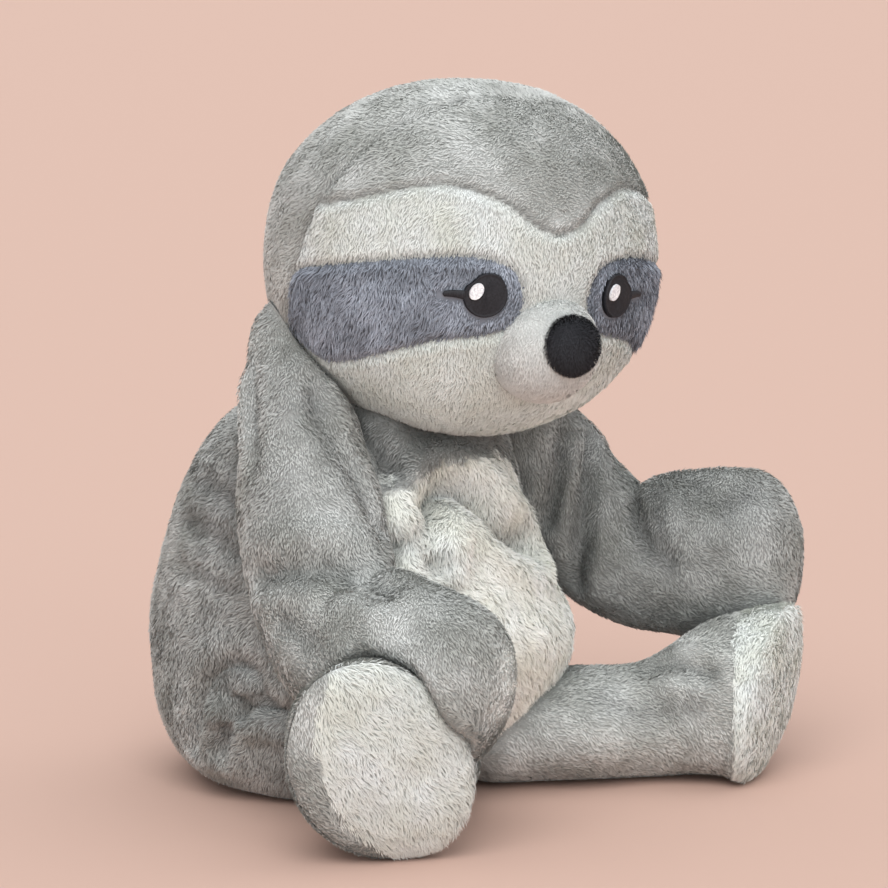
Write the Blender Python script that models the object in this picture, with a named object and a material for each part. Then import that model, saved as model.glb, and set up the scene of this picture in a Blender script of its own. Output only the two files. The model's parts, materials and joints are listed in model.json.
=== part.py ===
"""Sitting plush sloth: sewn covers round soft fillings, with a turning, nodding head and four swinging limbs.

Metres, +Z up. The toy sits on the plane z = 0 and its trunk faces -Y, so its right side is at -X.
The origin is the middle of the flat seat. Covers are thin shells and fillings are closed solids.
"""

import math

import bmesh
import bpy
from mathutils import Matrix, Vector

# Fabric, seams and clearances
CLOTH = 0.0020
PANEL_GAP = 0.0006
FILL_GAP = 0.0004
PATCH_GAP = 0.0003
POCKET_GAP = 0.0005
REST_GAP = 0.0022
SIDE_ROOM = 0.0030
FLOOR_CUT = 0.0005
OVERRUN = 0.0400

# Trunk
TRUNK_WIDTH = 0.216
TRUNK_DEPTH = 0.238
TRUNK_HEIGHT = 0.232
POUCH_HEIGHT = 0.048

# Neck: a ball of filling that head and trunk both close round
NECK_RADIUS = 0.040
NECK_HEIGHT = 0.218
NECK_FORWARD = 0.045

# Head
HEAD_WIDTH = 0.214
HEAD_DEPTH = 0.200
HEAD_HEIGHT = 0.193
HEAD_RISE = 0.075
HEAD_REACH = 0.024
HEAD_TURN = math.radians(-22)
HEAD_ROLL = math.radians(3)
NOD_BACK = math.radians(6)
NOD_FORWARD = math.radians(4)
TURN_RIGHT = math.radians(10)
TURN_LEFT = math.radians(20)

# Face
MUZZLE_WIDTH = 0.058
MUZZLE_HEIGHT = 0.054
MUZZLE_DEPTH = 0.058
NOSE_WIDTH = 0.030
NOSE_HEIGHT = 0.033
NOSE_DEPTH = 0.022
EYE_SIZE = 0.024
EYE_THICKNESS = 0.0016
LASH_LENGTH = 0.011
LASH_WIDTH = 0.0044
GLINT_WIDTH = 0.0078
GLINT_HEIGHT = 0.0094
GLINT_THICKNESS = 0.0010

# Arms
SHOULDER_HEIGHT = 0.201
SHOULDER_FORWARD = 0.014
SHOULDER_SPREAD = 0.084
SHOULDER_RADIUS = 0.034
SLEEVE_WIDTH = 0.072
SLEEVE_RISE = 0.026
MITT_WIDTH = 0.096
MITT_THICKNESS = 0.082
UPPER_ARM = 0.110
FOREARM = 0.090
ARMHOLE_RADIUS = 0.014
ARM_LIFT = math.radians(20)
LIFT_TURN_RIGHT = math.radians(38)
LIFT_TURN_LEFT = math.radians(0)
UPPER_TURN_RIGHT = math.radians(-29)
UPPER_RISE_RIGHT = math.radians(-57)
UPPER_TURN_LEFT = math.radians(40)
UPPER_RISE_LEFT = math.radians(-52)
FORE_TURN_RIGHT = math.radians(2)
FORE_RISE_RIGHT = math.radians(-16)
FORE_TURN_LEFT = math.radians(28)
FORE_RISE_LEFT = math.radians(-5)

# Legs
HIP_SPREAD = 0.064
HIP_FORWARD = 0.060
HIP_RADIUS = 0.042
LEG_WIDTH = 0.078
LEG_THICKNESS = 0.062
LEG_LENGTH = 0.132
FOOT_LENGTH = 0.120
FOOT_WIDTH = 0.084
SOLE_DOME = 0.013
LEG_SPLAY_RIGHT = math.radians(48)
LEG_SPLAY_LEFT = math.radians(31)
FOOT_ROLL_RIGHT = math.radians(34)
FOOT_ROLL_LEFT = math.radians(44)
SOLE_LEAN = math.radians(20)
SPLAY_OUT = math.radians(8)
SPLAY_IN = math.radians(4)

# Faceting
BODY_SIDES = 22
HEAD_ROWS = 12
HEAD_FULLNESS = 2.15
LIMB_SIDES = 12
LIMB_ROWS = 9
TIP_ROWS = 2
BALL_SIDES = 24
BALL_ROWS = 7
NECK_ROWS = 12
SMALL_SIDES = 14
SMALL_ROWS = 7
OUTLINE_STEPS = 3
SLOPE_SHARE = 0.05

GREY = (0.38, 0.38, 0.36)
CREAM = (0.72, 0.71, 0.63)
SLATE = (0.20, 0.21, 0.26)
PALE_PINK = (0.63, 0.59, 0.56)
BLACK = (0.022, 0.022, 0.025)
WHITE = (0.75, 0.75, 0.80)
FIBRE = (0.85, 0.85, 0.82)
POUCH_CLOTH = (0.55, 0.50, 0.42)

# Height, forward lean, width and depth of each level, as shares of the trunk's sizes.
TRUNK_SHARES = (
    (0.00, 0.00, 0.72, 0.72),
    (0.04, 0.00, 0.84, 0.84),
    (0.12, 0.00, 0.94, 0.94),
    (0.24, 0.00, 1.00, 1.00),
    (0.42, 0.00, 1.00, 1.00),
    (0.60, 0.01, 0.96, 0.93),
    (0.75, 0.02, 0.89, 0.82),
    (0.86, 0.04, 0.79, 0.67),
    (0.93, 0.07, 0.62, 0.50),
    (0.98, 0.10, 0.42, 0.34),
)
TRUNK_TOP_SHARES = (1.00, 0.12)

# Seams of the face seen from in front, as shares of half the head's width and height.
CROWN_SEAM_SHARES = (
    (0.00, 0.215), (0.13, 0.26), (0.28, 0.385), (0.50, 0.46), (0.70, 0.44), (0.92, 0.33), (1.10, 0.20)
)
CHEEK_SEAM_SHARES = ((0.00, -0.43), (0.16, -0.34), (0.30, -0.20), (0.60, -0.20), (1.10, -0.26))
PATCH_SHARES = (
    (0.20, -0.12), (0.23, 0.00), (0.32, 0.07), (0.52, 0.09), (0.78, 0.05), (1.04, -0.05),
    (1.12, -0.30), (1.02, -0.50), (0.87, -0.52), (0.70, -0.44), (0.50, -0.36), (0.30, -0.31), (0.21, -0.24),
)
SIDE_SEAM_SHARES = ((-0.20, 0.50), (0.00, -0.25))
EYE_SHARES = (0.385, -0.13)
GLINT_SHARES = (0.18, 0.22)
MUZZLE_SHARES = (0.86, -0.43)
NOSE_SHARES = (0.40, 0.06)

# The cream front seen from in front, as shares of half the trunk's width and of its height.
BELLY_SHARES = (
    (0.00, 0.80), (0.30, 0.795), (0.50, 0.76), (0.62, 0.68), (0.67, 0.55), (0.66, 0.42), (0.56, 0.30),
    (0.38, 0.21), (0.18, 0.165), (0.00, 0.155),
)


def clear_scene():
    for thing in list(bpy.data.objects):
        bpy.data.objects.remove(thing)


def material(name, colour, roughness=0.95):
    made = bpy.data.materials.new(name)
    made.use_nodes = True
    made.diffuse_color = (*colour, 1)
    shader = made.node_tree.nodes["Principled BSDF"]
    shader.inputs["Base Color"].default_value = (*colour, 1)
    shader.inputs["Roughness"].default_value = roughness
    return made


def closed_loft(name, rings, first_tip=None, last_tip=None):
    """A closed surface through rings of equal count, ended by a point or, with no tip, by a flat face."""
    bm = bmesh.new()
    rows = [[bm.verts.new(point) for point in ring] for ring in rings]
    for low, high in zip(rows, rows[1:]):
        for i in range(len(low)):
            j = (i + 1) % len(low)
            bm.faces.new((low[i], low[j], high[j], high[i]))
    for row, tip in ((rows[0], first_tip), (rows[-1], last_tip)):
        if tip is None:
            bm.faces.new(row)
            continue
        point = bm.verts.new(tip)
        for i in range(len(row)):
            bm.faces.new((row[i], row[(i + 1) % len(row)], point))
    bmesh.ops.recalc_face_normals(bm, faces=bm.faces)
    mesh = bpy.data.meshes.new(name)
    bm.to_mesh(mesh)
    bm.free()
    mesh.shade_smooth()
    return mesh


def split_faces(mesh):
    """Makes triangles of bent faces, so that every copy of a form bends along the same lines."""
    bm = bmesh.new()
    bm.from_mesh(mesh)
    bmesh.ops.triangulate(bm, faces=bm.faces)
    bm.to_mesh(mesh)
    bm.free()


def grown(mesh, distance):
    """A copy of a closed mesh with its surface moved out by a distance, or in by a negative one."""
    copy = mesh.copy()
    for vertex in copy.vertices:
        vertex.co += distance * mesh.vertices[vertex.index].normal
    return copy


def pivot(name, place):
    """An empty on a joint's axis, which carries the pieces that move about it."""
    thing = bpy.data.objects.new(name, None)
    bpy.context.scene.collection.objects.link(thing)
    thing.location = place
    return thing


def node(name, mesh, finish, frame=Matrix(), carrier=None):
    """A piece at a place in the world, moving with a carrier where it has one."""
    thing = bpy.data.objects.new(name, mesh)
    bpy.context.scene.collection.objects.link(thing)
    if carrier:
        thing.parent = carrier
        thing.matrix_parent_inverse = Matrix.Translation(-carrier.location)
    thing.matrix_basis = frame
    mesh.name = name
    mesh.materials.clear()
    mesh.materials.append(finish)
    return thing


def helper(name, mesh, frame=Matrix()):
    """A cutter, or a form that others are cut from."""
    thing = bpy.data.objects.new(name, mesh)
    bpy.context.scene.collection.objects.link(thing)
    thing.matrix_world = frame
    thing.hide_render = True
    thing.display_type = "WIRE"
    return thing


def combine(thing, other, operation="DIFFERENCE"):
    change = thing.modifiers.new(f"{operation.lower()} {other.name}", "BOOLEAN")
    change.operation = operation
    change.object = other


def settled(thing):
    """The mesh of an object after its modifiers."""
    graph = bpy.context.evaluated_depsgraph_get()
    return bpy.data.meshes.new_from_object(thing.evaluated_get(graph))


def smooth(values, at):
    """A point on a smooth curve through equally spaced values, at a place from 0 to their count less one."""
    last = len(values) - 1
    i = min(int(at), last - 1)
    t = at - i
    before, a, b, after = (values[max(0, min(last, i + k))] for k in (-1, 0, 1, 2))
    slope_a, slope_b = (b - before) / 2, (after - a) / 2
    return (
        a * (2 * t**3 - 3 * t**2 + 1)
        + slope_a * (t**3 - 2 * t**2 + t)
        + b * (3 * t**2 - 2 * t**3)
        + slope_b * (t**3 - t**2)
    )


def heading(turn, rise=0.0):
    """A unit vector: turn goes from straight ahead towards the left side, rise from the level upwards."""
    return Vector((math.sin(turn) * math.cos(rise), -math.cos(turn) * math.cos(rise), math.sin(rise)))


def ring(centre, wide_axis, tall_axis, wide, tall, sides):
    angles = [2 * math.pi * n / sides for n in range(sides)]
    return [centre + wide * math.cos(a) * wide_axis + tall * math.sin(a) * tall_axis for a in angles]


def section(stations, side, share, roll, lean):
    """Centre, axes and half sizes of a limb's section at a share of its path from root to tip."""
    last = len(stations) - 1
    at = last * share
    centres = [station[0] for station in stations]
    low, high = max(0, at - SLOPE_SHARE), min(last, at + SLOPE_SHARE)
    along = (smooth(centres, high) - smooth(centres, low)).normalized()
    across = (side - side.dot(along) * along).normalized()
    up = along.cross(across)
    rolled, tipped = roll * share**2, lean * share**2
    wide_axis = math.cos(rolled) * across + math.sin(rolled) * up
    tall_axis = math.cos(rolled) * up - math.sin(rolled) * across
    tall_axis = math.cos(tipped) * tall_axis + math.sin(tipped) * along
    halves = [smooth([station[k] for station in stations], at) for k in (1, 2)]
    return smooth(centres, at), wide_axis, tall_axis, wide_axis.cross(tall_axis), *halves


def limb_form(name, stations, side, tip_rise, roll=0.0, lean=0.0):
    """A closed, rounded limb along stations of a centre, a half width along side and a half thickness."""
    rings = []
    lifts = [math.pi / 2 * n / (TIP_ROWS + 1) for n in range(1, TIP_ROWS + 1)]
    for k in range(LIMB_ROWS + 1):
        centre, wide_axis, tall_axis, along, wide, tall = section(stations, side, k / LIMB_ROWS, roll, lean)
        caps = [(0.0, 1.0)]
        if k == 0:
            caps = [(-wide * math.sin(a), math.cos(a)) for a in reversed(lifts)] + caps
            first_tip = centre - wide * along
        if k == LIMB_ROWS:
            caps += [(tip_rise * math.sin(a), math.cos(a)) for a in lifts]
            last_tip = centre + tip_rise * along
        for shift, shrink in caps:
            place = centre + shift * along
            rings.append(ring(place, wide_axis, tall_axis, shrink * wide, shrink * tall, LIMB_SIDES))
    mesh = closed_loft(name, rings, first_tip, last_tip)
    split_faces(mesh)
    return mesh


def trunk_form():
    rings = []
    for rise, lean, wide, deep in TRUNK_SHARES:
        centre = Vector((0, -TRUNK_DEPTH * lean, TRUNK_HEIGHT * rise))
        half_wide, half_deep = 0.5 * TRUNK_WIDTH * wide, 0.5 * TRUNK_DEPTH * deep
        rings.append(ring(centre, Vector((1, 0, 0)), Vector((0, 1, 0)), half_wide, half_deep, BODY_SIDES))
    rise, lean = TRUNK_TOP_SHARES
    return closed_loft("trunk_form", rings, None, Vector((0, -TRUNK_DEPTH * lean, TRUNK_HEIGHT * rise)))


def egg(name, width, depth, height, sides, rows, fullness=2.0):
    """A rounded solid about its own centre, fuller than an ellipsoid when fullness is over 2."""
    rings = []
    for k in range(1, rows):
        z = -math.cos(math.pi * k / rows)
        radius = (1 - abs(z) ** fullness) ** (1 / fullness)
        centre = Vector((0, 0, 0.5 * height * z))
        half_wide, half_deep = 0.5 * width * radius, 0.5 * depth * radius
        rings.append(ring(centre, Vector((1, 0, 0)), Vector((0, 1, 0)), half_wide, half_deep, sides))
    tip = Vector((0, 0, 0.5 * height))
    return closed_loft(name, rings, -tip, tip)


def sphere(name, radius, rows=BALL_ROWS):
    return egg(name, 2 * radius, 2 * radius, 2 * radius, BALL_SIDES, rows)


def block(name, low, high, frame=Matrix()):
    corners = [(low[0], low[1]), (high[0], low[1]), (high[0], high[1]), (low[0], high[1])]
    rings = [[Vector((x, y, z)) for x, y in corners] for z in (low[2], high[2])]
    return helper(name, closed_loft(name, rings), frame)


def prism(name, outline, near, far, frame=Matrix()):
    """An outline of (x, z) points drawn out along y."""
    rings = [[Vector((x, y, z)) for x, z in outline] for y in (near, far)]
    return helper(name, closed_loft(name, rings), frame)


def curve_through(points, closed=False):
    points = [Vector(point) for point in points]
    if closed:
        points = points[-2:] + points + points[:2]
        places = range(2 * OUTLINE_STEPS, (len(points) - 2) * OUTLINE_STEPS)
    else:
        places = range((len(points) - 1) * OUTLINE_STEPS + 1)
    return [smooth(points, k / OUTLINE_STEPS) for k in places]


def widened(outline, distance):
    """A closed outline, counted anticlockwise or clockwise, moved outwards by a distance."""
    area = sum(a.x * b.y - b.x * a.y for a, b in zip(outline, outline[1:] + outline[:1]))
    moved = []
    for before, point, after in zip(outline[-1:] + outline[:-1], outline, outline[1:] + outline[:1]):
        way = (after - before).normalized()
        moved.append(point + math.copysign(distance, area) * Vector((way.y, -way.x)))
    return moved


def mirrored_curve(shares, width, height):
    """A smooth line from the left edge to the right one, from the shares of its right half."""
    half = [Vector((0.5 * width * x, height * z)) for x, z in curve_through(shares)]
    return [Vector((-point.x, point.y)) for point in reversed(half[1:])] + half


def shifted(line, rise):
    return [point + Vector((0, rise)) for point in line]


# Frames that several pieces share
UP = Vector((0, 0, 1))
NECK = Vector((0, -NECK_FORWARD, NECK_HEIGHT))
HEAD_FRAME = (
    Matrix.Translation(NECK + Vector((0, -HEAD_REACH, HEAD_RISE)))
    @ Matrix.Rotation(HEAD_TURN, 4, "Z")
    @ Matrix.Rotation(HEAD_ROLL, 4, "Y")
)
NOD_AXIS = Matrix.Rotation(HEAD_TURN, 4, "Z") @ Vector((1, 0, 0))
RIGHT, LEFT = -1, 1
SIDES = ((RIGHT, "right"), (LEFT, "left"))
SPLAY = {RIGHT: -LEG_SPLAY_RIGHT, LEFT: LEG_SPLAY_LEFT}
LIFT_AXES = {RIGHT: heading(LIFT_TURN_RIGHT).cross(UP), LEFT: heading(LIFT_TURN_LEFT).cross(UP)}
ARM_WAYS = {
    RIGHT: (heading(UPPER_TURN_RIGHT, UPPER_RISE_RIGHT), heading(FORE_TURN_RIGHT, FORE_RISE_RIGHT)),
    LEFT: (heading(UPPER_TURN_LEFT, UPPER_RISE_LEFT), heading(FORE_TURN_LEFT, FORE_RISE_LEFT)),
}
FOOT_ROLLS = {RIGHT: FOOT_ROLL_RIGHT, LEFT: -FOOT_ROLL_LEFT}


def shoulder(side):
    return Vector((side * SHOULDER_SPREAD, -SHOULDER_FORWARD, SHOULDER_HEIGHT))


def shoulder_frame(side):
    """The root of an arm is round about its own joint's axis."""
    return Matrix.Translation(shoulder(side)) @ LIFT_AXES[side].to_track_quat("Z", "Y").to_matrix().to_4x4()


def hip(side):
    return Vector((side * HIP_SPREAD, -HIP_FORWARD, 0.5 * LEG_THICKNESS - FLOOR_CUT))


def arm_form(side, label):
    upper_way, fore_way = ARM_WAYS[side]
    start, out = shoulder(side), Vector((side, 0, 0))
    half, mitt_wide, mitt_thick = 0.5 * SLEEVE_WIDTH, 0.5 * MITT_WIDTH, 0.5 * MITT_THICKNESS
    elbow = start + 0.3 * half * out + UPPER_ARM * upper_way
    stations = (
        (start + SLEEVE_RISE * UP, 0.8 * SHOULDER_RADIUS, 0.8 * SHOULDER_RADIUS),
        (start + 0.3 * half * out + 0.35 * UPPER_ARM * upper_way, half, half),
        (start + 0.35 * half * out + 0.72 * UPPER_ARM * upper_way, half, half),
        (elbow + 0.15 * FOREARM * fore_way, half, half),
        (elbow + 0.55 * FOREARM * fore_way, mitt_wide, mitt_thick),
        (elbow + FOREARM * fore_way, mitt_wide, mitt_thick),
    )
    return limb_form(f"arm_form_{label}", stations, UP, 0.8 * mitt_thick)


def leg_stations(side):
    way, start = heading(SPLAY[side]), hip(side)
    half_wide, half_thick = 0.5 * LEG_WIDTH, 0.5 * LEG_THICKNESS
    foot_wide, foot_tall = 0.5 * FOOT_WIDTH, 0.5 * FOOT_LENGTH
    roll = FOOT_ROLLS[side]
    rolled = math.hypot(foot_tall * math.cos(roll) * math.cos(SOLE_LEAN), foot_wide * math.sin(roll))
    lift = rolled - half_thick
    return (
        (start, half_wide, half_thick),
        (start + 0.30 * LEG_LENGTH * way, half_wide, half_thick),
        (start + 0.58 * LEG_LENGTH * way + 0.10 * lift * UP, half_wide, half_thick + 0.10 * lift),
        (start + 0.82 * LEG_LENGTH * way + 0.85 * lift * UP, 0.96 * foot_wide, half_thick + 0.85 * lift),
        (start + LEG_LENGTH * way + lift * UP, foot_wide, foot_tall),
    )


def leg_shape(side):
    """What the leg's form and its sole's frame are both worked out from."""
    return leg_stations(side), heading(SPLAY[side]).cross(UP), FOOT_ROLLS[side], -SOLE_LEAN


def leg_form(side, label):
    stations, across, roll, lean = leg_shape(side)
    return limb_form(f"leg_form_{label}", stations, across, SOLE_DOME, roll, lean)


def sole_frame(side):
    stations, across, roll, lean = leg_shape(side)
    centre, wide_axis, tall_axis, along, _, _ = section(stations, across, 1.0, roll, lean)
    return Matrix.Translation(centre) @ Matrix((wide_axis, tall_axis, along)).transposed().to_4x4()


def swung(centre, angle, axis):
    return Matrix.Translation(centre) @ Matrix.Rotation(angle, 4, axis) @ Matrix.Translation(-centre)


class Layers:
    """A stuffed form at three depths: its outside, the inside of its cloth and the outside of its filling."""

    def __init__(self, label, form, frame=Matrix(), carrier=None):
        self.label = label
        self.form = form
        self.frame = frame
        self.carrier = carrier
        self.changes = []

    def keep_clear_of(self, other, room, turn=Matrix()):
        self.changes.append(("DIFFERENCE", other.form, turn @ other.frame, room))

    def add(self, mesh, frame):
        self.changes.append(("UNION", mesh, frame, 0.0))

    def shape(self, thing, depth):
        for operation, mesh, frame, room in self.changes:
            distance = room + depth if operation == "DIFFERENCE" else -depth
            other = helper(f"{thing.name} {operation.lower()}", grown(mesh, distance), frame)
            combine(thing, other, operation)
        return thing

    def shell(self):
        """The cloth, still sealed: each opening is cut where the piece is made."""
        outside = self.shape(helper(f"{self.label} outside", self.form.copy(), self.frame), 0.0)
        inside = self.shape(helper(f"{self.label} inside", grown(self.form, -CLOTH), self.frame), CLOTH)
        combine(outside, inside)
        return outside

    def filling(self, name, finish):
        depth = CLOTH + FILL_GAP
        return self.shape(node(name, grown(self.form, -depth), finish, self.frame, self.carrier), depth)


clear_scene()
grey = material("grey_plush", GREY)
cream = material("cream_plush", CREAM)
slate = material("slate_plush", SLATE)
pink = material("pale_short_plush", PALE_PINK)
stitch_black = material("black_stitching", BLACK, 0.6)
nose_black = material("black_plush", BLACK)
stitch_white = material("white_stitching", WHITE, 0.5)
fibre = material("fibre_filling", FIBRE)
pouch_cloth = material("pouch_cloth", POUCH_CLOTH)

trunk = Layers("trunk", trunk_form())
head_form = egg("head_form", HEAD_WIDTH, HEAD_DEPTH, HEAD_HEIGHT, BODY_SIDES, HEAD_ROWS, HEAD_FULLNESS)
head = Layers("head", head_form, HEAD_FRAME, pivot("head_joint", NECK))
arms, legs = {}, {}
for side, label in SIDES:
    arm_joint = pivot(f"arm_joint_{label}", shoulder(side))
    leg_joint = pivot(f"leg_joint_{label}", hip(side))
    arms[side] = Layers(f"arm_{label}", arm_form(side, label), carrier=arm_joint)
    legs[side] = Layers(f"leg_{label}", leg_form(side, label), carrier=leg_joint)


# The head clears the trunk at rest and wherever it turns and nods.
head.keep_clear_of(trunk, SIDE_ROOM)
for turn in (-TURN_LEFT, TURN_RIGHT):
    for nod in (-NOD_FORWARD, NOD_BACK):
        head.keep_clear_of(trunk, SIDE_ROOM, swung(NECK, nod, NOD_AXIS) @ swung(NECK, turn, UP))

for side, _ in SIDES:
    joint, axis = shoulder(side), LIFT_AXES[side]
    steps = (-SPLAY_IN, 0.0, 0.35 * SPLAY_OUT, 0.7 * SPLAY_OUT, SPLAY_OUT)
    swings = [swung(hip(side), side * swing, UP) for swing in steps]
    for swing in (swings[0], swings[1], swings[-1]):
        legs[side].keep_clear_of(trunk, SIDE_ROOM, swing.inverted())
    hip_form = egg("hip", 2 * HIP_RADIUS, 2 * HIP_RADIUS, LEG_THICKNESS, BALL_SIDES, BALL_ROWS)
    legs[side].add(hip_form, Matrix.Translation(hip(side)))
    for swing in swings:
        arms[side].keep_clear_of(legs[side], REST_GAP, swing)
    for lift in (0.35 * ARM_LIFT, 0.7 * ARM_LIFT, ARM_LIFT):
        arms[side].keep_clear_of(legs[side], REST_GAP, swung(joint, -lift, axis))
    for lift in (0.0, ARM_LIFT):
        arms[side].keep_clear_of(trunk, SIDE_ROOM, swung(joint, -lift, axis))
    arms[side].add(sphere("shoulder", SHOULDER_RADIUS), shoulder_frame(side))
    for lift in (0.0, ARM_LIFT):
        for turn in (0.0, TURN_LEFT if side == LEFT else -TURN_RIGHT):
            arms[side].keep_clear_of(head, SIDE_ROOM, swung(joint, -lift, axis) @ swung(NECK, turn, UP))


# Neck
neck_frame = Matrix.Translation(NECK) @ Matrix.Rotation(HEAD_TURN, 4, "Z")
node("neck_stuffing", sphere("neck", NECK_RADIUS, NECK_ROWS), fibre, neck_frame)
neck_socket = helper("neck socket", sphere("neck socket", NECK_RADIUS + POCKET_GAP, NECK_ROWS), neck_frame)


# Trunk: cover, cream front, filling and the bag of beads under it
sockets = [neck_socket]
for side, label in SIDES:
    shoulder_room = sphere("shoulder room", SHOULDER_RADIUS + POCKET_GAP)
    sockets.append(helper(f"shoulder socket {label}", shoulder_room, shoulder_frame(side)))
    wide, tall = 2 * (HIP_RADIUS + POCKET_GAP), LEG_THICKNESS + 2 * POCKET_GAP
    hip_room = egg("hip room", wide, wide, tall, BALL_SIDES, BALL_ROWS)
    sockets.append(helper(f"hip socket {label}", hip_room, Matrix.Translation(hip(side))))

belly_line = mirrored_curve(BELLY_SHARES, TRUNK_WIDTH, TRUNK_HEIGHT)
belly_line = belly_line[: len(belly_line) // 2 + 1][::-1]
belly_outline = belly_line + [Vector((-point.x, point.y)) for point in belly_line[-2:0:-1]]
belly = prism("belly", belly_outline, -TRUNK_DEPTH, 0)
belly_room = prism("belly room", widened(belly_outline, PANEL_GAP), -TRUNK_DEPTH, 0)

trunk_shell = trunk.shell()
for socket in sockets:
    combine(trunk_shell, socket)
trunk_mesh = settled(trunk_shell)

torso_cover = node("torso_cover", trunk_mesh.copy(), grey)
combine(torso_cover, belly_room)
belly_panel = node("belly_panel", trunk_mesh.copy(), cream)
combine(belly_panel, belly, "INTERSECT")

far_high = Vector((TRUNK_WIDTH, TRUNK_DEPTH, TRUNK_HEIGHT + OVERRUN))
far_low = Vector((-TRUNK_WIDTH, -TRUNK_DEPTH, -OVERRUN))
pouch_top = block("pouch top", (far_low.x, far_low.y, POUCH_HEIGHT), far_high)
pouch_under = block("pouch under", far_low, (far_high.x, far_high.y, POUCH_HEIGHT + FILL_GAP))
torso_stuffing = trunk.filling("torso_stuffing", fibre)
bead_pouch = trunk.filling("bead_pouch", pouch_cloth)
combine(torso_stuffing, pouch_under)
combine(bead_pouch, pouch_top)
for socket in sockets:
    combine(torso_stuffing, socket)
for socket in sockets:
    if "hip" in socket.name:
        combine(bead_pouch, socket)


# Head: panels cut from one shell along their seams
head_shell = head.shell()
combine(head_shell, neck_socket)
head_mesh = settled(head_shell)
head_stuffing = head.filling("head_stuffing", fibre)
combine(head_stuffing, neck_socket)

half_head = Vector((0.5 * HEAD_WIDTH, 0.5 * HEAD_DEPTH, 0.5 * HEAD_HEIGHT))
seam_top, seam_low = (Vector((0, half_head.y * y, half_head.z * z)) for y, z in SIDE_SEAM_SHARES)
seam_lean = math.atan2(seam_low.y - seam_top.y, seam_top.z - seam_low.z)
seam_middle = (seam_top + seam_low) / 2
seam_frame = HEAD_FRAME @ Matrix.Translation(seam_middle) @ Matrix.Rotation(seam_lean, 4, "X")
reach = HEAD_WIDTH + OVERRUN
front = block("front", (-reach, -reach, -reach), (reach, -0.5 * PANEL_GAP, reach), seam_frame)
front_room = block("front room", (-reach, -reach, -reach), (reach, 0.5 * PANEL_GAP, reach), seam_frame)

crown_line = mirrored_curve(CROWN_SEAM_SHARES, HEAD_WIDTH, 0.5 * HEAD_HEIGHT)
cheek_line = mirrored_curve(CHEEK_SEAM_SHARES, HEAD_WIDTH, 0.5 * HEAD_HEIGHT)
patch_line = [
    Vector((half_head.x * x, half_head.z * z)) for x, z in curve_through(PATCH_SHARES, closed=True)
]
above_head = [Vector((x, HEAD_HEIGHT)) for x in (crown_line[-1].x, crown_line[0].x)]
below_head = [Vector((x, -HEAD_HEIGHT)) for x in (cheek_line[-1].x, cheek_line[0].x)]
rise = 0.5 * PANEL_GAP
outlines = {
    "crown_panel": shifted(crown_line, rise) + above_head,
    "forehead_panel": shifted(crown_line, -rise) + shifted(cheek_line, rise)[::-1],
    "face_panel": shifted(cheek_line, -rise) + below_head,
}
patches = {
    LEFT: patch_line,
    RIGHT: [Vector((-point.x, point.y)) for point in reversed(patch_line)],
}
patch_rooms = [
    prism(f"patch room {label}", widened(patches[side], PANEL_GAP), -HEAD_DEPTH, half_head.y, HEAD_FRAME)
    for side, label in SIDES
]


def head_piece(name, finish, outline=None, rooms=()):
    piece = node(name, head_mesh.copy(), finish, HEAD_FRAME, head.carrier)
    if outline:
        shape = prism(f"{name} outline", outline, -HEAD_DEPTH, half_head.y, HEAD_FRAME)
        combine(piece, front, "INTERSECT")
        combine(piece, shape, "INTERSECT")
    else:
        combine(piece, front_room)
    for room in rooms:
        combine(piece, room)
    return piece


head_piece("head_back_panel", grey)
head_piece("crown_panel", grey, outlines["crown_panel"])
head_piece("forehead_panel", cream, outlines["forehead_panel"], patch_rooms)
head_piece("face_panel", cream, outlines["face_panel"], patch_rooms)
for side, label in SIDES:
    head_piece(f"eye_patch_{label}", slate, patches[side])


# Muzzle and nose
muzzle_place = Vector((0, -half_head.y * MUZZLE_SHARES[0], half_head.z * MUZZLE_SHARES[1]))
muzzle_form = egg("muzzle_form", MUZZLE_WIDTH, MUZZLE_DEPTH, MUZZLE_HEIGHT, SMALL_SIDES, SMALL_ROWS)
muzzle_frame = HEAD_FRAME @ Matrix.Translation(muzzle_place)
head_room = helper("head room", grown(head.form, PATCH_GAP), HEAD_FRAME)
muzzle = node("muzzle", muzzle_form.copy(), pink, muzzle_frame, head.carrier)
combine(muzzle, head_room)
nose_place = muzzle_place + Vector(
    (0, -0.5 * MUZZLE_DEPTH + NOSE_SHARES[0] * 0.5 * NOSE_DEPTH, NOSE_SHARES[1] * MUZZLE_HEIGHT)
)
nose = node(
    "nose",
    egg("nose_form", NOSE_WIDTH, NOSE_DEPTH, NOSE_HEIGHT, SMALL_SIDES, SMALL_ROWS),
    nose_black,
    HEAD_FRAME @ Matrix.Translation(nose_place),
    head.carrier,
)
combine(nose, helper("muzzle room", grown(muzzle_form, PATCH_GAP), muzzle_frame))


# Eyes: stitched discs with a lash, and a lighter spot on each
def skin(thing, low, high):
    """Keeps what of a piece lies between two heights above the head's surface."""
    combine(thing, helper(f"{thing.name} top", grown(head.form, high), HEAD_FRAME), "INTERSECT")
    combine(thing, helper(f"{thing.name} base", grown(head.form, low), HEAD_FRAME))


def eye_outline(side):
    """A circle with a tapering lash towards the outer side."""
    radius = 0.5 * EYE_SIZE
    gap = math.asin(0.5 * LASH_WIDTH / radius)
    turns = [gap + (2 * math.pi - 2 * gap) * k / SMALL_SIDES for k in range(SMALL_SIDES + 1)]
    circle = [Vector((side * radius * math.cos(a), radius * math.sin(a))) for a in turns]
    reach_out = side * (radius + LASH_LENGTH)
    return circle + [Vector((reach_out, -0.25 * LASH_WIDTH)), Vector((reach_out, 0.25 * LASH_WIDTH))]


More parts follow.
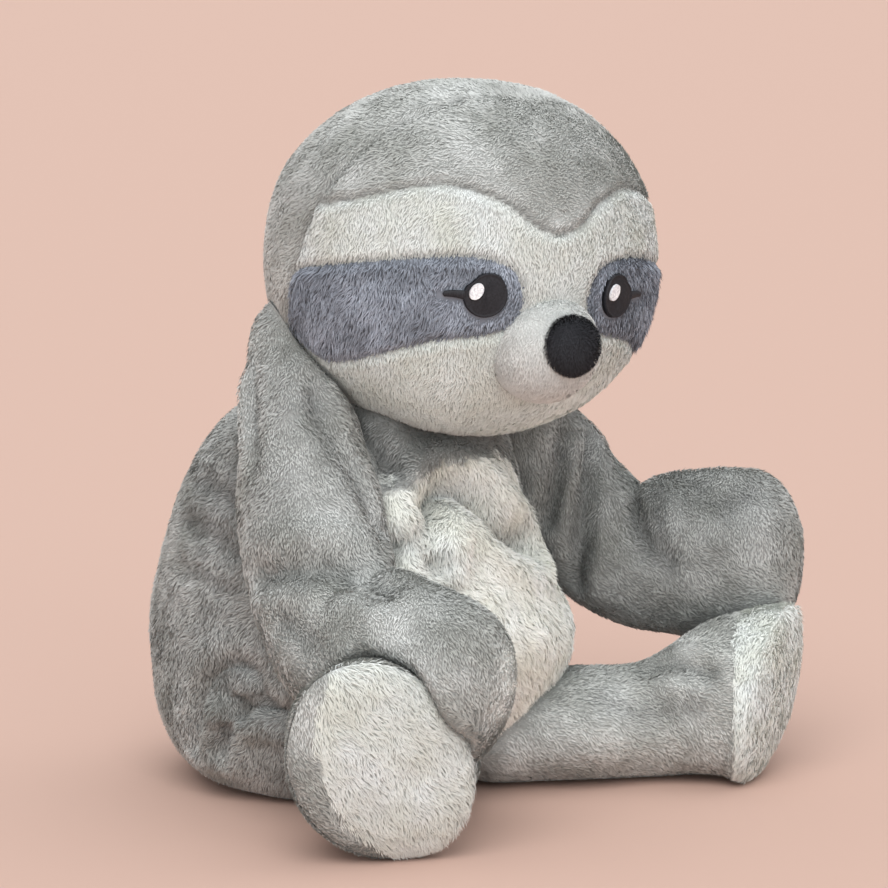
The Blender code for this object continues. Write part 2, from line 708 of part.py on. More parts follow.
def glint_outline():
    turns = [2 * math.pi * k / SMALL_SIDES for k in range(SMALL_SIDES)]
    half_wide, half_tall = 0.5 * GLINT_WIDTH, 0.5 * GLINT_HEIGHT
    return [Vector((half_wide * math.cos(a), half_tall * math.sin(a))) for a in turns]


def stitched_spot(name, outline, low, thickness, finish, frame):
    shape = prism(f"{name} outline", outline, -HEAD_DEPTH, 0).data.copy()
    spot = node(name, shape, finish, frame, head.carrier)
    skin(spot, low, low + thickness)


for side, label in SIDES:
    turn = Matrix.Rotation(side * math.asin(EYE_SHARES[0]), 4, "Z")
    eye_frame = HEAD_FRAME @ turn @ Matrix.Translation((0, 0, half_head.z * EYE_SHARES[1]))
    stitched_spot(f"eye_{label}", eye_outline(side), PATCH_GAP, EYE_THICKNESS, stitch_black, eye_frame)
    place = Vector((GLINT_SHARES[0], 0, GLINT_SHARES[1])) * EYE_SIZE
    glint_frame = eye_frame @ Matrix.Translation((-place.x, 0, place.z))
    low = 2 * PATCH_GAP + EYE_THICKNESS
    stitched_spot(f"eye_highlight_{label}", glint_outline(), low, GLINT_THICKNESS, stitch_white, glint_frame)


# Arms
for side, label in SIDES:
    cover = node(f"arm_cover_{label}", settled(arms[side].shell()), grey, carrier=arms[side].carrier)
    width = 2 * ARMHOLE_RADIUS
    armhole = egg("armhole", width, width, width, SMALL_SIDES, SMALL_ROWS)
    opening = Matrix.Translation(shoulder(side) - side * SHOULDER_RADIUS * Vector((1, 0, 0)))
    combine(cover, helper(f"armhole {label}", armhole, opening))
    arms[side].filling(f"arm_stuffing_{label}", fibre)


# Legs: the cover ends at a seam round the sole
floor = block("floor", (-reach, -reach, -reach), (reach, reach, 0))
for side, label in SIDES:
    leg_shell = legs[side].shell()
    combine(leg_shell, floor)
    leg_mesh = settled(leg_shell)
    seam, edge = sole_frame(side), 0.5 * PANEL_GAP
    beyond = block(f"beyond sole seam {label}", (-reach, -reach, -edge), (reach, reach, reach), seam)
    behind = block(f"behind sole seam {label}", (-reach, -reach, -reach), (reach, reach, edge), seam)
    cover = node(f"leg_cover_{label}", leg_mesh, grey, carrier=legs[side].carrier)
    combine(cover, beyond)
    sole = node(f"sole_{label}", leg_mesh.copy(), cream, carrier=legs[side].carrier)
    combine(sole, behind)
    legs[side].filling(f"leg_stuffing_{label}", fibre)
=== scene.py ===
"""Looks of a sitting plush sloth: sewn panels with their pile, stitched eyes, floor, light and camera."""

import json
from collections import namedtuple
from math import asin, copysign, cos, hypot, pi, radians, sin

import bpy
import numpy as np
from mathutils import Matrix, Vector
from mathutils.bvhtree import BVHTree


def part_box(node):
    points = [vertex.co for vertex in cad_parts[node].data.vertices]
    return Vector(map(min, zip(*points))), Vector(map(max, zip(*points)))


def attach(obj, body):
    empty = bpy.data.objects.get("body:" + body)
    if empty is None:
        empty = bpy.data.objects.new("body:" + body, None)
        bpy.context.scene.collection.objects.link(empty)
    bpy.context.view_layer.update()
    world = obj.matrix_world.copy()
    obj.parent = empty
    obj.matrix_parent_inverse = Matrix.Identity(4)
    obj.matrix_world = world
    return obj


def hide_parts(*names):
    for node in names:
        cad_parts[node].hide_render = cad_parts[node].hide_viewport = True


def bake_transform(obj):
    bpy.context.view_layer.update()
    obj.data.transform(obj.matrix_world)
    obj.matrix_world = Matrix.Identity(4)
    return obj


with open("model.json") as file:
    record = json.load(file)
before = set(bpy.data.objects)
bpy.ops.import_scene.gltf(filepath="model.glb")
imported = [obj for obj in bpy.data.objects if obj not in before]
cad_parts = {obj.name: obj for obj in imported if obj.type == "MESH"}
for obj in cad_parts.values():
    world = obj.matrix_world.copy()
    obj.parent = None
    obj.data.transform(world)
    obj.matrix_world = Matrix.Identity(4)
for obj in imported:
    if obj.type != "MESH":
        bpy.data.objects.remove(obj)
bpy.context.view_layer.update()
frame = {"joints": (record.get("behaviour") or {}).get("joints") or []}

RIGHT, LEFT = -1, 1
SIDES = ((RIGHT, "right"), (LEFT, "left"))
UP = np.array((0.0, 0.0, 1.0))
JOINTS = {joint["name"]: np.array(joint["pos_m"]) for joint in frame["joints"]}
TINY = 1e-15
MILLIMETRES = 1000

# The photograph's view: a look point at a pixel, the camera's place round it and the size of a pixel there
PHOTO_SIDE = 888
LOOK_POINT = np.array((0.0, -0.02, 0.17))
LOOK_PIXEL = (390, 478)
PIXEL_SIZE = 0.00055
CAMERA_AZIMUTH, CAMERA_RISE = -52, 8
CAMERA_DISTANCE = 2.4
SENSOR = 0.036

# Trunk and head
TRUNK_WIDTH, TRUNK_DEPTH, TRUNK_HEIGHT = 0.216, 0.238, 0.232
TUCK_HEIGHT, TUCK_SHARE = 0.095, 0.42
WAIST_HEIGHT, WAIST_BLEND, CHEST_SHARE = 0.11, 0.064, 0.17
HEAD_WIDTH, HEAD_DEPTH, HEAD_HEIGHT = 0.214, 0.2, 0.193
HEAD_RISE, HEAD_REACH = 0.075, 0.024
HEAD_TURN, HEAD_ROLL = radians(-22), radians(3)
HEAD_FULLNESS, CHIN_SHARE = 2.15, 0.965
MUZZLE_SIZE, MUZZLE_SHARES, MUZZLE_SINK = np.array((0.058, 0.06, 0.057)), (0.86, -0.405), 0.003
NOSE_SIZE, NOSE_SHARES, NOSE_SINK = np.array((0.0292, 0.022, 0.03)), (0.4, 0.06), 0.002
NOSE_REACH = 0.0034

# Arms and legs, by side where the sides differ
SHOULDER_RADIUS = 0.034
SLEEVE_WIDTH, SLEEVE_RISE = 0.074, {RIGHT: 0.048, LEFT: 0.036}
MITT_WIDTH, MITT_THICKNESS, MITT_CAP_SHARE = 0.094, 0.082, {RIGHT: 0.8, LEFT: 0.64}
UPPER_ARM, FOREARM, ARM_BOW = 0.11, 0.087, {RIGHT: 0.013, LEFT: 0}
LEG_WIDTH, LEG_THICKNESS, LEG_LENGTH = 0.078, 0.06, 0.13
THIGH_WIDTH, THIGH_SHIFT = 0.096, {RIGHT: 0.012, LEFT: 0.022}
FOOT_LENGTH, FOOT_WIDTH = {RIGHT: 0.118, LEFT: 0.108}, {RIGHT: 0.091, LEFT: 0.084}
FOOT_SHIFT, FAR_FOOT_REACH = 0.007, 0.01
SOLE_DOME, SOLE_LEAN, SOLE_REACH = {RIGHT: 0.013, LEFT: 0.008}, radians(20), {RIGHT: 0, LEFT: 0.022}
ELBOW_LEAD, ELBOW_BLEND = 0.02, 0.04

# Turns towards the left side, rises from the level and rolls, in degrees
ARM_TURNS = {RIGHT: ((-29, -57), (2, -16)), LEFT: ((40, -52), (28, 1.5))}
LEG_TURNS, LEG_ROLLS = {RIGHT: -48, LEFT: 31}, {RIGHT: 34, LEFT: -44}

# Stitched eyes, their lashes and bright spots
EYE_SIZE, EYE_BASE, EYE_THICKNESS, EYE_PITCH = 0.0237, 0.0014, 0.0012, 0.0008
LASH_LENGTH, LASH_WIDTH, LASH_BASE, LASH_THICKNESS, LASH_PITCH = 0.0108, 0.0046, 0.002, 0.001, 0.0007
LASH_BOW, LASH_OVERRUN = 0.0005, 0.0006
GLINT_LONG, GLINT_SHORT, GLINT_BASE, GLINT_THICKNESS, GLINT_PITCH = 0.005, 0.0036, 0.0026, 0.0008, 0.0006
GLINT_TURNS = {RIGHT: radians(122), LEFT: radians(58)}
EYE_SHARES, GLINT_SHARES = (0.378, -0.118), (0.21, 0.09)

# Gaps between cloths, seams, and the filling's lumps: their size, height and seed
FLOOR_LIFT, CLOTH_GAP, HEAD_GAP, FAR_OFF = 0.0012, 0.0012, 0.0016, 0.02
SEAM_WIDTH, SEAM_DEPTH = 0.0024, 0.0016
TRUNK_LUMPS, LEG_LUMPS, ARM_LUMPS = (0.03, 0.0016, 1), (0.026, 0.0014, 2), (0.026, 0.0014, 3)
HEAD_LUMPS, NECK_LUMPS = (0.034, 0.001, 4), (0.012, 0.0012, 71)

# Where pile grows shorter, and each piece's reach and painted shade beside the pieces that it touches
SEAM_REACH, EYE_REACH, MUZZLE_REACH, FLOOR_REACH = 0.004, 0.007, 0.01, 0.008
EYE_MARGIN, MUZZLE_OVERLAP, TRUNK_LOWEST, LIMB_LOWEST = 0.0004, 0.001, 0.002, 0.0016
CONTACT_PILE, CONTACT_DEPTH = 0.007, 0.014
HEAD_CONTACT, TRUNK_CONTACT = (0.01, 0.3), (0.024, 0.55)
BELLY_CONTACT, LIMB_CONTACT = (0.01, 0.2), (0.012, 0.25)

# Sizes of the clouds in which the pile swirls, rises and changes tone, its roots' depth and the flat layout
SWIRL_FINE, SWIRL_WIDE, LIFT_CLOUD, TIP_CLOUD = 0.0055, 0.018, 0.004, 0.007
TONE_FINE, TONE_WIDE, ROOT_DEPTH = 0.0035, 0.011, 0.0004
LAYOUT_SHARES, LAYOUT_MARGINS, TUFT_LAYOUT_SHARE = (0.96, 0.48), (0.02, 0.01), 0.0008

TRUNK_SHARES = (
    (0, 0, 0.66, 0.66), (0.04, 0, 0.82, 0.82), (0.12, 0, 0.94, 0.94), (0.24, 0, 1, 1),
    (0.42, 0, 1, 1), (0.6, 0.01, 0.96, 0.93), (0.75, 0.02, 0.89, 0.82), (0.86, 0.04, 0.8, 0.68),
    (0.93, 0.07, 0.66, 0.52), (0.98, 0.1, 0.46, 0.36), (1, 0.12, 0.24, 0.18),
)
CROWN_SEAM_SHARES = (
    (0, 0.215), (0.13, 0.26), (0.28, 0.385), (0.5, 0.46), (0.7, 0.425), (0.87, 0.35), (1.1, 0.25)
)
CHEEK_SEAM_SHARES = ((0, -0.43), (0.16, -0.34), (0.3, -0.2), (0.6, -0.2), (1.1, -0.26))
SIDE_SEAM_SHARES = ((-0.26, 0.5), (0, -0.25))
BELLY_RIGHT_SHARES = (
    (0, 0.8), (0.35, 0.8), (0.6, 0.78), (0.78, 0.71), (0.86, 0.6), (0.84, 0.45), (0.7, 0.3),
    (0.42, 0.2), (0.18, 0.165), (0, 0.155),
)
BELLY_LEFT_SHARES = (
    (0, 0.8), (0.2, 0.795), (0.34, 0.76), (0.44, 0.68), (0.54, 0.58), (0.64, 0.48), (0.66, 0.4),
    (0.58, 0.3), (0.38, 0.21), (0.18, 0.165), (0, 0.155),
)
RAGGED_SHARE, RAGGED_SIZES = 0.022, (0.01, 0.003)
FRINGE_HEIGHT, FRINGE_SHARE, EDGE_SHARE = 0.085, 1.25, 0.7

# Seams in the photograph's pixels
PATCH_PIXELS = (
    (300, 268), (345, 262), (391, 258), (460, 255), (500, 261), (517, 275), (523, 298), (517, 321),
    (500, 331), (442, 337), (391, 348), (350, 357), (325, 356), (302, 341), (289, 318), (288, 290),
)
SOLE_PIXELS = {
    RIGHT: ((347, 640), (331, 670), (315, 716), (313, 750), (322, 784), (341, 818), (372, 845), (440, 880)),
    LEFT: ((735, 560), (735, 640), (733, 700), (736, 800)),
}

# Folds, each pressed in with painted shade along it: the pixels along each, its width and its depth
TRUNK_FOLDS = (
    (
        ((431, 516), (434, 500), (446, 490), (464, 491), (482, 505), (496, 524), (512, 538), (526, 545)),
        0.0092, 0.016,
    ),
    (((386, 556), (402, 543), (420, 547), (434, 556)), 0.0072, 0.01),
    (((424, 566), (436, 580), (444, 592)), 0.007, 0.0035),
    (((199, 742), (202, 705), (212, 676), (234, 664), (256, 674), (268, 694)), 0.006, 0.0075),
    (((226, 692), (250, 702), (288, 710)), 0.0065, 0.01),
    (((222, 748), (230, 722), (246, 708)), 0.0055, 0.0065),
    (((190, 520), (210, 532), (234, 552)), 0.006, 0.0018),
    (((184, 566), (206, 578), (236, 592)), 0.005, 0.0014),
    (((204, 478), (216, 486), (236, 500)), 0.005, 0.0014),
    (((350, 420), (372, 445), (390, 470)), 0.007, 0.008),
    (((560, 668), (545, 686), (520, 710), (492, 736)), 0.003, 0.0035),
)
RIGHT_ARM_FOLDS = (
    (((262, 574), (290, 568), (322, 564), (352, 572), (384, 588)), 0.0085, 0.0075),
    (((312, 385), (322, 425), (345, 460), (362, 492), (378, 530)), 0.006, 0.0052),
    # A ridge, with a painted highlight along it
    (((250, 376), (248, 396), (247, 416), (247, 436), (249, 458)), 0.0034, -0.008),
    (((256, 362), (257, 395), (257, 430), (258, 466)), 0.0028, 0.003),
    (((250, 600), (282, 618), (310, 640)), 0.008, 0.003),
)
LEFT_ARM_FOLDS = (
    (((586, 436), (588, 470), (582, 510), (578, 548), (574, 580)), 0.006, 0.0085),
    (((560, 428), (556, 470), (548, 515)), 0.006, 0.006),
    (((616, 452), (632, 470), (640, 482)), 0.006, 0.005),
    (((640, 520), (646, 550), (668, 560)), 0.008, 0.003),
    (((694, 480), (716, 500), (744, 492)), 0.011, 0.003),
    (((633, 498), (638, 520), (648, 548)), 0.005, 0.003),
    (((656, 496), (660, 525), (668, 560)), 0.005, 0.0026),
)
LEFT_LEG_FOLDS = (
    (((640, 672), (664, 666), (690, 668), (708, 672)), 0.006, 0.0065),
    (((600, 700), (640, 712), (690, 706)), 0.01, 0.002),
)

# Places where the pile is lighter or darker: mostly brushing, with painted shade and painted light where
# noted below; the middle and size of each in pixels, and its change
HEAD_BRUSHING_AND_LIGHT = (
    ((440, 98), 42, 0.1), ((372, 118), 34, 0.1), ((575, 165), 40, -0.07), ((292, 190), 40, -0.08),
    # Painted light: these three lighten the lower face, which looks down
    ((430, 400), 62, 0.16), ((560, 412), 55, 0.16), ((300, 380), 40, 0.14),
)
RIGHT_ARM_MARKS = (
    ((345, 525), 26, 0.14), ((288, 395), 26, -0.14), ((275, 480), 30, -0.1), ((262, 340), 18, 0.08),
    ((372, 585), 28, 0.08), ((430, 650), 32, -0.07), ((511, 655), 12, 0.75), ((512, 684), 11, 0.75),
    ((500, 713), 11, 0.65),
)
TRUNK_BRUSHING_AND_SHADE = (
    # Painted shadow: the first two darken the back beside the near arm; painted shade: the last darkens the
    # chest under the chin
    ((215, 500), 42, -0.22), ((205, 630), 38, -0.14), ((240, 760), 30, 0.05), ((415, 440), 36, -0.22),
)
LEFT_ARM_MARKS = (
    ((715, 490), 26, 0.18), ((800, 545), 14, 0.25), ((690, 560), 40, -0.08), ((652, 500), 15, -0.1),
    ((600, 470), 16, 0.08),
)
LEFT_LEG_MARKS = (((640, 715), 40, 0.06), ((685, 640), 26, 0.1))
BELLY_TONE, HAND_TONE = 1.52, 0.14
HAND_TOP_PIXEL, HAND_BLEND_PIXELS = 560, 60


# Small helpers for points in rows

def unit(vectors):
    return vectors / np.maximum(np.linalg.norm(vectors, axis=-1, keepdims=True), TINY)


def dot(a, b):
    return (a * b).sum(-1, keepdims=True)


def circle(sides):
    return 2 * pi * np.arange(sides) / sides


def grown(least, distance, reach):
    """Grows from a least share at no distance to 1 at a reach."""
    return least + (1 - least) * np.clip(distance / reach, 0, 1)


def heading(turn, rise=0.0):
    """A unit vector: turn goes from straight ahead towards the left side, rise from the level upwards."""
    turn, rise = radians(turn), radians(rise)
    return np.array((sin(turn) * cos(rise), -cos(turn) * cos(rise), sin(rise)))


def bell(values):
    """1 at zero, and less on both sides."""
    return np.exp(-(values**2))


def smooth(values, at):
    """Places on a smooth curve through equally spaced rows of values."""
    values = np.asarray(values, float)
    last = len(values) - 1
    i = np.clip(at.astype(int), 0, last - 1)
    t = (at - i)[:, None]
    before, a, b, after = (values[np.clip(i + k, 0, last)] for k in (-1, 0, 1, 2))
    return (
        a * (2 * t**3 - 3 * t**2 + 1)
        + (b - before) / 2 * (t**3 - 2 * t**2 + t)
        + b * (3 * t**2 - 2 * t**3)
        + (after - a) / 2 * (t**3 - t**2)
    )


def curve_through(points, steps=12, closed=False):
    points = np.asarray(points, float)
    if closed:
        points = np.vstack((points[-2:], points, points[:2]))
        return smooth(points, np.arange(2 * steps, (len(points) - 2) * steps) / steps)
    return smooth(points, np.arange((len(points) - 1) * steps + 1) / steps)


def line_distance(points, line, closed=False):
    """How far points lie from a line through given points."""
    ends = np.roll(line, -1, axis=0) if closed else line[1:]
    nearest = np.full(len(points), np.inf)
    for start, end in zip(line, ends):
        way = end - start
        share = np.clip((points - start) @ way / max(way @ way, TINY), 0, 1)
        gap = points - start - share[:, None] * way
        nearest = np.minimum(nearest, (gap * gap).sum(1))
    return np.sqrt(nearest)


def inside(points, outline):
    """Which 2-D points lie within a closed outline."""
    found = np.zeros(len(points), bool)
    x, y = points.T
    for (ax, ay), (bx, by) in zip(outline, np.roll(outline, -1, axis=0)):
        crosses = (ay > y) != (by > y)
        rise = by - ay if by != ay else TINY
        found ^= crosses & (x < (bx - ax) * (y - ay) / rise + ax)
    return found


def clouds(points, size, seed):
    """Smooth noise from -1 to 1, with features of a size."""
    side = 32
    table = np.random.default_rng(seed).uniform(-1, 1, (side, side, side))
    q = points / size + 2 * side
    i = np.floor(q).astype(int)
    f = q - i
    f = f * f * (3 - 2 * f)
    total = np.zeros(len(points))
    for corner in np.ndindex(2, 2, 2):
        weight = np.prod([f[:, k] if d else 1 - f[:, k] for k, d in enumerate(corner)], axis=0)
        total += weight * table[tuple((i + corner).T % side)]
    return total


# Places and turns

def placed(points, matrix):
    return points @ matrix[:3, :3].T + matrix[:3, 3]


def local(points, matrix):
    return (points - matrix[:3, 3]) @ matrix[:3, :3]


def turning(angle, axis):
    c, s = cos(angle), sin(angle)
    made = np.eye(4)
    i, j = {"z": (0, 1), "y": (2, 0)}[axis]
    made[i, i] = made[j, j] = c
    made[i, j], made[j, i] = -s, s
    return made


def shifting(vector):
    made = np.eye(4)
    made[:3, 3] = vector
    return made


# The photograph's camera

BACK = heading(CAMERA_AZIMUTH, CAMERA_RISE)
ACROSS = np.array((cos(radians(CAMERA_AZIMUTH)), sin(radians(CAMERA_AZIMUTH)), 0.0))
ABOVE = np.cross(BACK, ACROSS)
CAMERA_PLACE = LOOK_POINT + CAMERA_DISTANCE * BACK


def pixels_of(points):
    """The photograph's pixels at which the camera sees points."""
    from_camera = points - CAMERA_PLACE
    scale = CAMERA_DISTANCE / -(from_camera @ BACK) / PIXEL_SIZE
    right, up = from_camera @ ACROSS * scale, from_camera @ ABOVE * scale
    return np.stack((right + LOOK_PIXEL[0], LOOK_PIXEL[1] - up), 1)


def pixel_way(pixel):
    """The direction in which the camera sees a pixel of the photograph."""
    right = (pixel[0] - LOOK_PIXEL[0]) * PIXEL_SIZE
    down = (pixel[1] - LOOK_PIXEL[1]) * PIXEL_SIZE
    return unit(right * ACROSS - down * ABOVE - CAMERA_DISTANCE * BACK)


# Sewn forms

class Form:
    """A closed surface of triangles, with a place on a flat layout for each point."""

    def __init__(self, points, faces, layout):
        self.points, self.faces, self.layout = points, faces, layout
        self.shade = np.ones(len(points))
        self.refresh()

    def refresh(self):
        points = self.points
        a, b, c = (points[self.faces[:, k]] for k in range(3))
        face_normals = np.cross(b - a, c - a)
        self.normals = np.zeros_like(points)
        for k, axis in np.ndindex(3, 3):
            self.normals[:, axis] += np.bincount(self.faces[:, k], face_normals[:, axis], len(points))
        self.normals = unit(self.normals)
        self.areas = np.linalg.norm(face_normals, axis=1) / 2
        self.middles = (a + b + c) / 3
        self.tree = BVHTree.FromPolygons(points.tolist(), self.faces.tolist())

    def cast(self, pixels):
        """Where the camera sees pixels of the photograph on this form."""
        hits = [self.tree.ray_cast(Vector(CAMERA_PLACE), Vector(pixel_way(pixel)))[0] for pixel in pixels]
        return np.array([hit for hit in hits if hit is not None])

    def nearest(self, points):
        """Nearest places on this form, the smooth normals there and how far points stand out of it."""
        found = [self.tree.find_nearest(Vector(point)) for point in points]
        places = np.array([hit[0] for hit in found]).reshape(-1, 3)
        corners = self.faces[[hit[2] for hit in found]]
        a, b, c = (self.points[corners[:, k]] for k in range(3))
        shares = np.stack([
            np.linalg.norm(np.cross(p - places, q - places), axis=1) for p, q in ((b, c), (c, a), (a, b))
        ], 1) + TINY
        normals = unit((self.normals[corners] * shares[..., None]).sum(1))
        gaps = points - places
        return places, normals, np.linalg.norm(gaps, axis=1) * np.sign((gaps * normals).sum(1))

    def height_over(self, points, far=FAR_OFF):
        """How far points stand out of this form: less than zero inside it, and far for those well away."""
        heights = np.full(len(points), far)
        near = ((points > self.points.min(0) - far) & (points < self.points.max(0) + far)).all(1)
        if near.any():
            heights[near] = self.nearest(points[near])[2]
        return heights

    def press_out_of(self, other, room):
        """Moves what lies within another form out to its surface."""
        low = np.flatnonzero(other.height_over(self.points) < room)
        places, normals, _ = other.nearest(self.points[low])
        self.points[low] = places + room * normals
        self.refresh()

    def yield_to(self, other, room):
        """Draws what lies within another form back towards this form's own middle line."""
        low = np.flatnonzero(other.height_over(self.points) < room)
        middle, way = self.axis[low], self.points[low] - self.axis[low]
        clear, met = np.zeros((len(low), 1)), np.ones((len(low), 1))
        for _ in range(7):
            share = (clear + met) / 2
            within = other.height_over(middle + share * way)[:, None] < room
            clear, met = np.where(within, clear, share), np.where(within, share, met)
        self.points[low] = middle + clear * way
        self.refresh()

    def copy(self):
        return Form(self.points.copy(), self.faces, self.layout)

    def relax(self, rounds, share):
        """Evens the surface out."""
        start, end = np.vstack([self.faces[:, (k, (k + 1) % 3)] for k in range(3)]).T
        count = np.bincount(start)
        for _ in range(rounds):
            near = np.stack([np.bincount(start, self.points[end, k]) / count for k in range(3)], 1)
            self.points = self.points + share * (near - self.points)
        self.refresh()

    def lumps(self, size, height, seed):
        self.points = self.points + (height * clouds(self.points, size, seed))[:, None] * self.normals
        self.refresh()

    def crease(self, line, width, depth, lip=0.35, painted_shade=0.3):
        """Presses a furrow in along a line with painted shade within, the cloth swelling on both its sides;
        a negative depth raises a ridge with a painted highlight along it.
        """
        away = line_distance(self.points, line) / width
        push = lip * depth * bell(away - 1.9) - depth * bell(away)
        self.points = self.points + push[:, None] * self.normals
        self.shade = self.shade * (1 - copysign(painted_shade, depth) * bell(1.15 * away))
        self.refresh()

    def stand_on_floor(self):
        self.points[:, 2] = np.maximum(self.points[:, 2], FLOOR_LIFT)
        self.refresh()


def form_of_rings(rings, first_tip, last_tip):
    """A form through rings of equal count, closed by a point at each end."""
    rows, sides, _ = rings.shape
    points = np.vstack((rings.reshape(-1, 3), first_tip, last_tip))
    index = np.arange(rows * sides).reshape(rows, sides)
    beside = np.roll(index, -1, axis=1)
    a, b, c, d = index[:-1], beside[:-1], beside[1:], index[1:]
    first, last = (np.full(sides, rows * sides + k) for k in (0, 1))
    corners = (a, b, c), (a, c, d), (beside[0], index[0], first), (index[-1], beside[-1], last)
    faces = np.vstack([np.stack(corner, -1).reshape(-1, 3) for corner in corners])
    u = np.tile(np.arange(sides) / sides, rows)
    v = np.repeat((np.arange(rows) + 1) / (rows + 1), sides)
    layout = np.vstack((np.stack((u, v), 1), (0.5, 0.0), (0.5, 1.0)))
    return Form(points, faces, layout)


def trunk_form(rows=88, sides=150):
    """The trunk, slimmer at its chest on the camera's right and tucked in under its belly."""
    steps = smooth(TRUNK_SHARES, np.linspace(0, 1, rows) * (len(TRUNK_SHARES) - 1))
    turn = circle(sides)
    rise, lean, wide, deep = (steps[:, k, None] for k in range(4))
    x = 0.5 * TRUNK_WIDTH * wide * np.cos(turn)
    y = 0.5 * TRUNK_DEPTH * deep * np.sin(turn) - TRUNK_DEPTH * lean
    rings = np.stack((x, y, np.broadcast_to(TRUNK_HEIGHT * rise, x.shape)), -1)
    chest = np.clip((rings[..., 2] - WAIST_HEIGHT) / WAIST_BLEND + 0.5, 0, 1)[..., None]
    toward = np.clip(rings @ ACROSS / np.linalg.norm(rings[..., :2], axis=-1), 0, 1)[..., None]
    rings[..., :2] *= 1 - CHEST_SHARE * toward**1.5 * chest**2 * (3 - 2 * chest)
    low = np.clip(1 - rings[..., 2] / TUCK_HEIGHT, 0, 1) ** 1.5
    rings[..., 1] *= np.where(rings[..., 1] < 0, 1 - TUCK_SHARE * low, 1)
    tips = [np.array((0.0, -TRUNK_DEPTH * row[1], TRUNK_HEIGHT * row[0])) for row in (steps[0], steps[-1])]
    return form_of_rings(rings, *tips)


def egg_form(size, rows, sides, matrix, fullness=2.0):
    """A rounded form about its own centre, fuller than an ellipsoid when fullness is over 2."""
    z = -np.cos(pi * (np.arange(rows) + 1) / (rows + 1))[:, None]
    radius = (1 - np.abs(z) ** fullness) ** (1 / fullness)
    turn = circle(sides)
    x, y = radius * np.cos(turn), radius * np.sin(turn)
    rings = np.stack((x, y, np.broadcast_to(z, x.shape)), -1) * size / 2
    tip = np.array((0, 0, size[2] / 2))
    form = form_of_rings(rings, -tip, tip)
    form.points = placed(form.points, matrix)
    form.refresh()
    return form


def limb_form(stations, side, first_cap, last_cap, roll=0, lean=0, rows=96, sides=96, cap_rows=9):
    """A closed, rounded limb along stations of a centre, a half width along side and a half thickness."""
    last = len(stations) - 1
    centres = np.array([station[0] for station in stations])
    halves = np.array([station[1:] for station in stations])
    share = np.linspace(0, 1, rows)
    at = share * last
    step = 0.05
    centre = smooth(centres, at)
    along = unit(smooth(centres, np.minimum(at + step, last)) - smooth(centres, np.maximum(at - step, 0)))
    across = unit(side - dot(along, side) * along)
    up = np.cross(along, across)
    turned, tipped = (roll * share**2)[:, None], (lean * share**2)[:, None]
    wide_axis = np.cos(turned) * across + np.sin(turned) * up
    tall_axis = np.cos(turned) * up - np.sin(turned) * across
    tall_axis = np.cos(tipped) * tall_axis + np.sin(tipped) * along
    along = np.cross(wide_axis, tall_axis)
    wide, tall = (smooth(halves, at)[:, k, None] for k in range(2))
    lifts = pi / 2 * np.arange(1, cap_rows + 1) / (cap_rows + 1)
    turn = circle(sides)
    ring = wide_axis[:, None] * (wide * np.cos(turn))[..., None]
    ring = ring + tall_axis[:, None] * (tall * np.sin(turn))[..., None]
    first = [centre[0] - first_cap * sin(a) * along[0] + cos(a) * ring[0] for a in reversed(lifts)]
    end = [centre[-1] + last_cap * sin(a) * along[-1] + cos(a) * ring[-1] for a in lifts]
    rings = np.concatenate((first, centre[:, None] + ring, end))
    tips = centre[0] - first_cap * along[0], centre[-1] + last_cap * along[-1]
    form = form_of_rings(rings, *tips)
    form.axis = np.vstack((np.repeat(rings.mean(1), sides, axis=0), *tips))
    form.end_frame = np.eye(4)
    form.end_frame[:3, :3] = np.stack((wide_axis[-1], tall_axis[-1], along[-1]), 1)
    form.end_frame[:3, 3] = centre[-1]
    return form


# Arms and legs, from their joints

def arm_form(side, label):
    start, bow = JOINTS[f"arm_{label}_lift"], ARM_BOW[side] * ACROSS
    upper, fore = (size * heading(*turns) for size, turns in zip((UPPER_ARM, FOREARM), ARM_TURNS[side]))
    half, mitt_wide, mitt_thick = SLEEVE_WIDTH / 2, MITT_WIDTH / 2, MITT_THICKNESS / 2
    out = np.array((side * half, 0, 0))
    elbow = start + 0.3 * out + upper
    stations = (
        (start + SLEEVE_RISE[side] * UP - 0.2 * out, 0.66 * SHOULDER_RADIUS, 0.66 * SHOULDER_RADIUS),
        (start + 0.35 * out + 0.35 * upper + bow, half, half),
        (start + 0.38 * out + 0.72 * upper + bow, half, half),
        (elbow + 0.15 * fore + 0.3 * bow, half, half),
        (elbow + 0.55 * fore, mitt_wide, mitt_thick),
        (elbow + fore, mitt_wide, mitt_thick),
    )
    return limb_form(stations, UP, 0.8 * SHOULDER_RADIUS, MITT_CAP_SHARE[side] * mitt_thick)


def leg_form(side, label):
    start, way = JOINTS[f"leg_{label}_splay"], heading(LEG_TURNS[side])
    roll = radians(LEG_ROLLS[side])
    half_wide, half_thick = LEG_WIDTH / 2, LEG_THICKNESS / 2
    foot_wide, foot_tall = FOOT_WIDTH[side] / 2, FOOT_LENGTH[side] / 2
    inward = np.array((-side * THIGH_SHIFT[side], 0.0, 0.0))
    shift = -FOOT_SHIFT * ACROSS if side == RIGHT else FAR_FOOT_REACH * way
    lift = hypot(foot_tall * cos(roll) * cos(SOLE_LEAN), foot_wide * sin(roll)) - half_thick
    along, rise = LEG_LENGTH * way, lift * UP
    stations = (
        (start + inward, THIGH_WIDTH / 2, half_thick),
        (start + 0.6 * inward + 0.3 * along, 0.48 * THIGH_WIDTH, half_thick),
        (start + 0.58 * along + 0.1 * rise, half_wide, half_thick + 0.1 * lift),
        (start + 0.82 * along + 0.85 * rise + shift, 0.96 * foot_wide, half_thick + 0.85 * lift),
        (start + along + rise + shift, foot_wide, foot_tall),
    )
    return limb_form(stations, np.cross(way, UP), half_wide, SOLE_DOME[side], roll, -SOLE_LEAN)


# The head, its panels and its seams

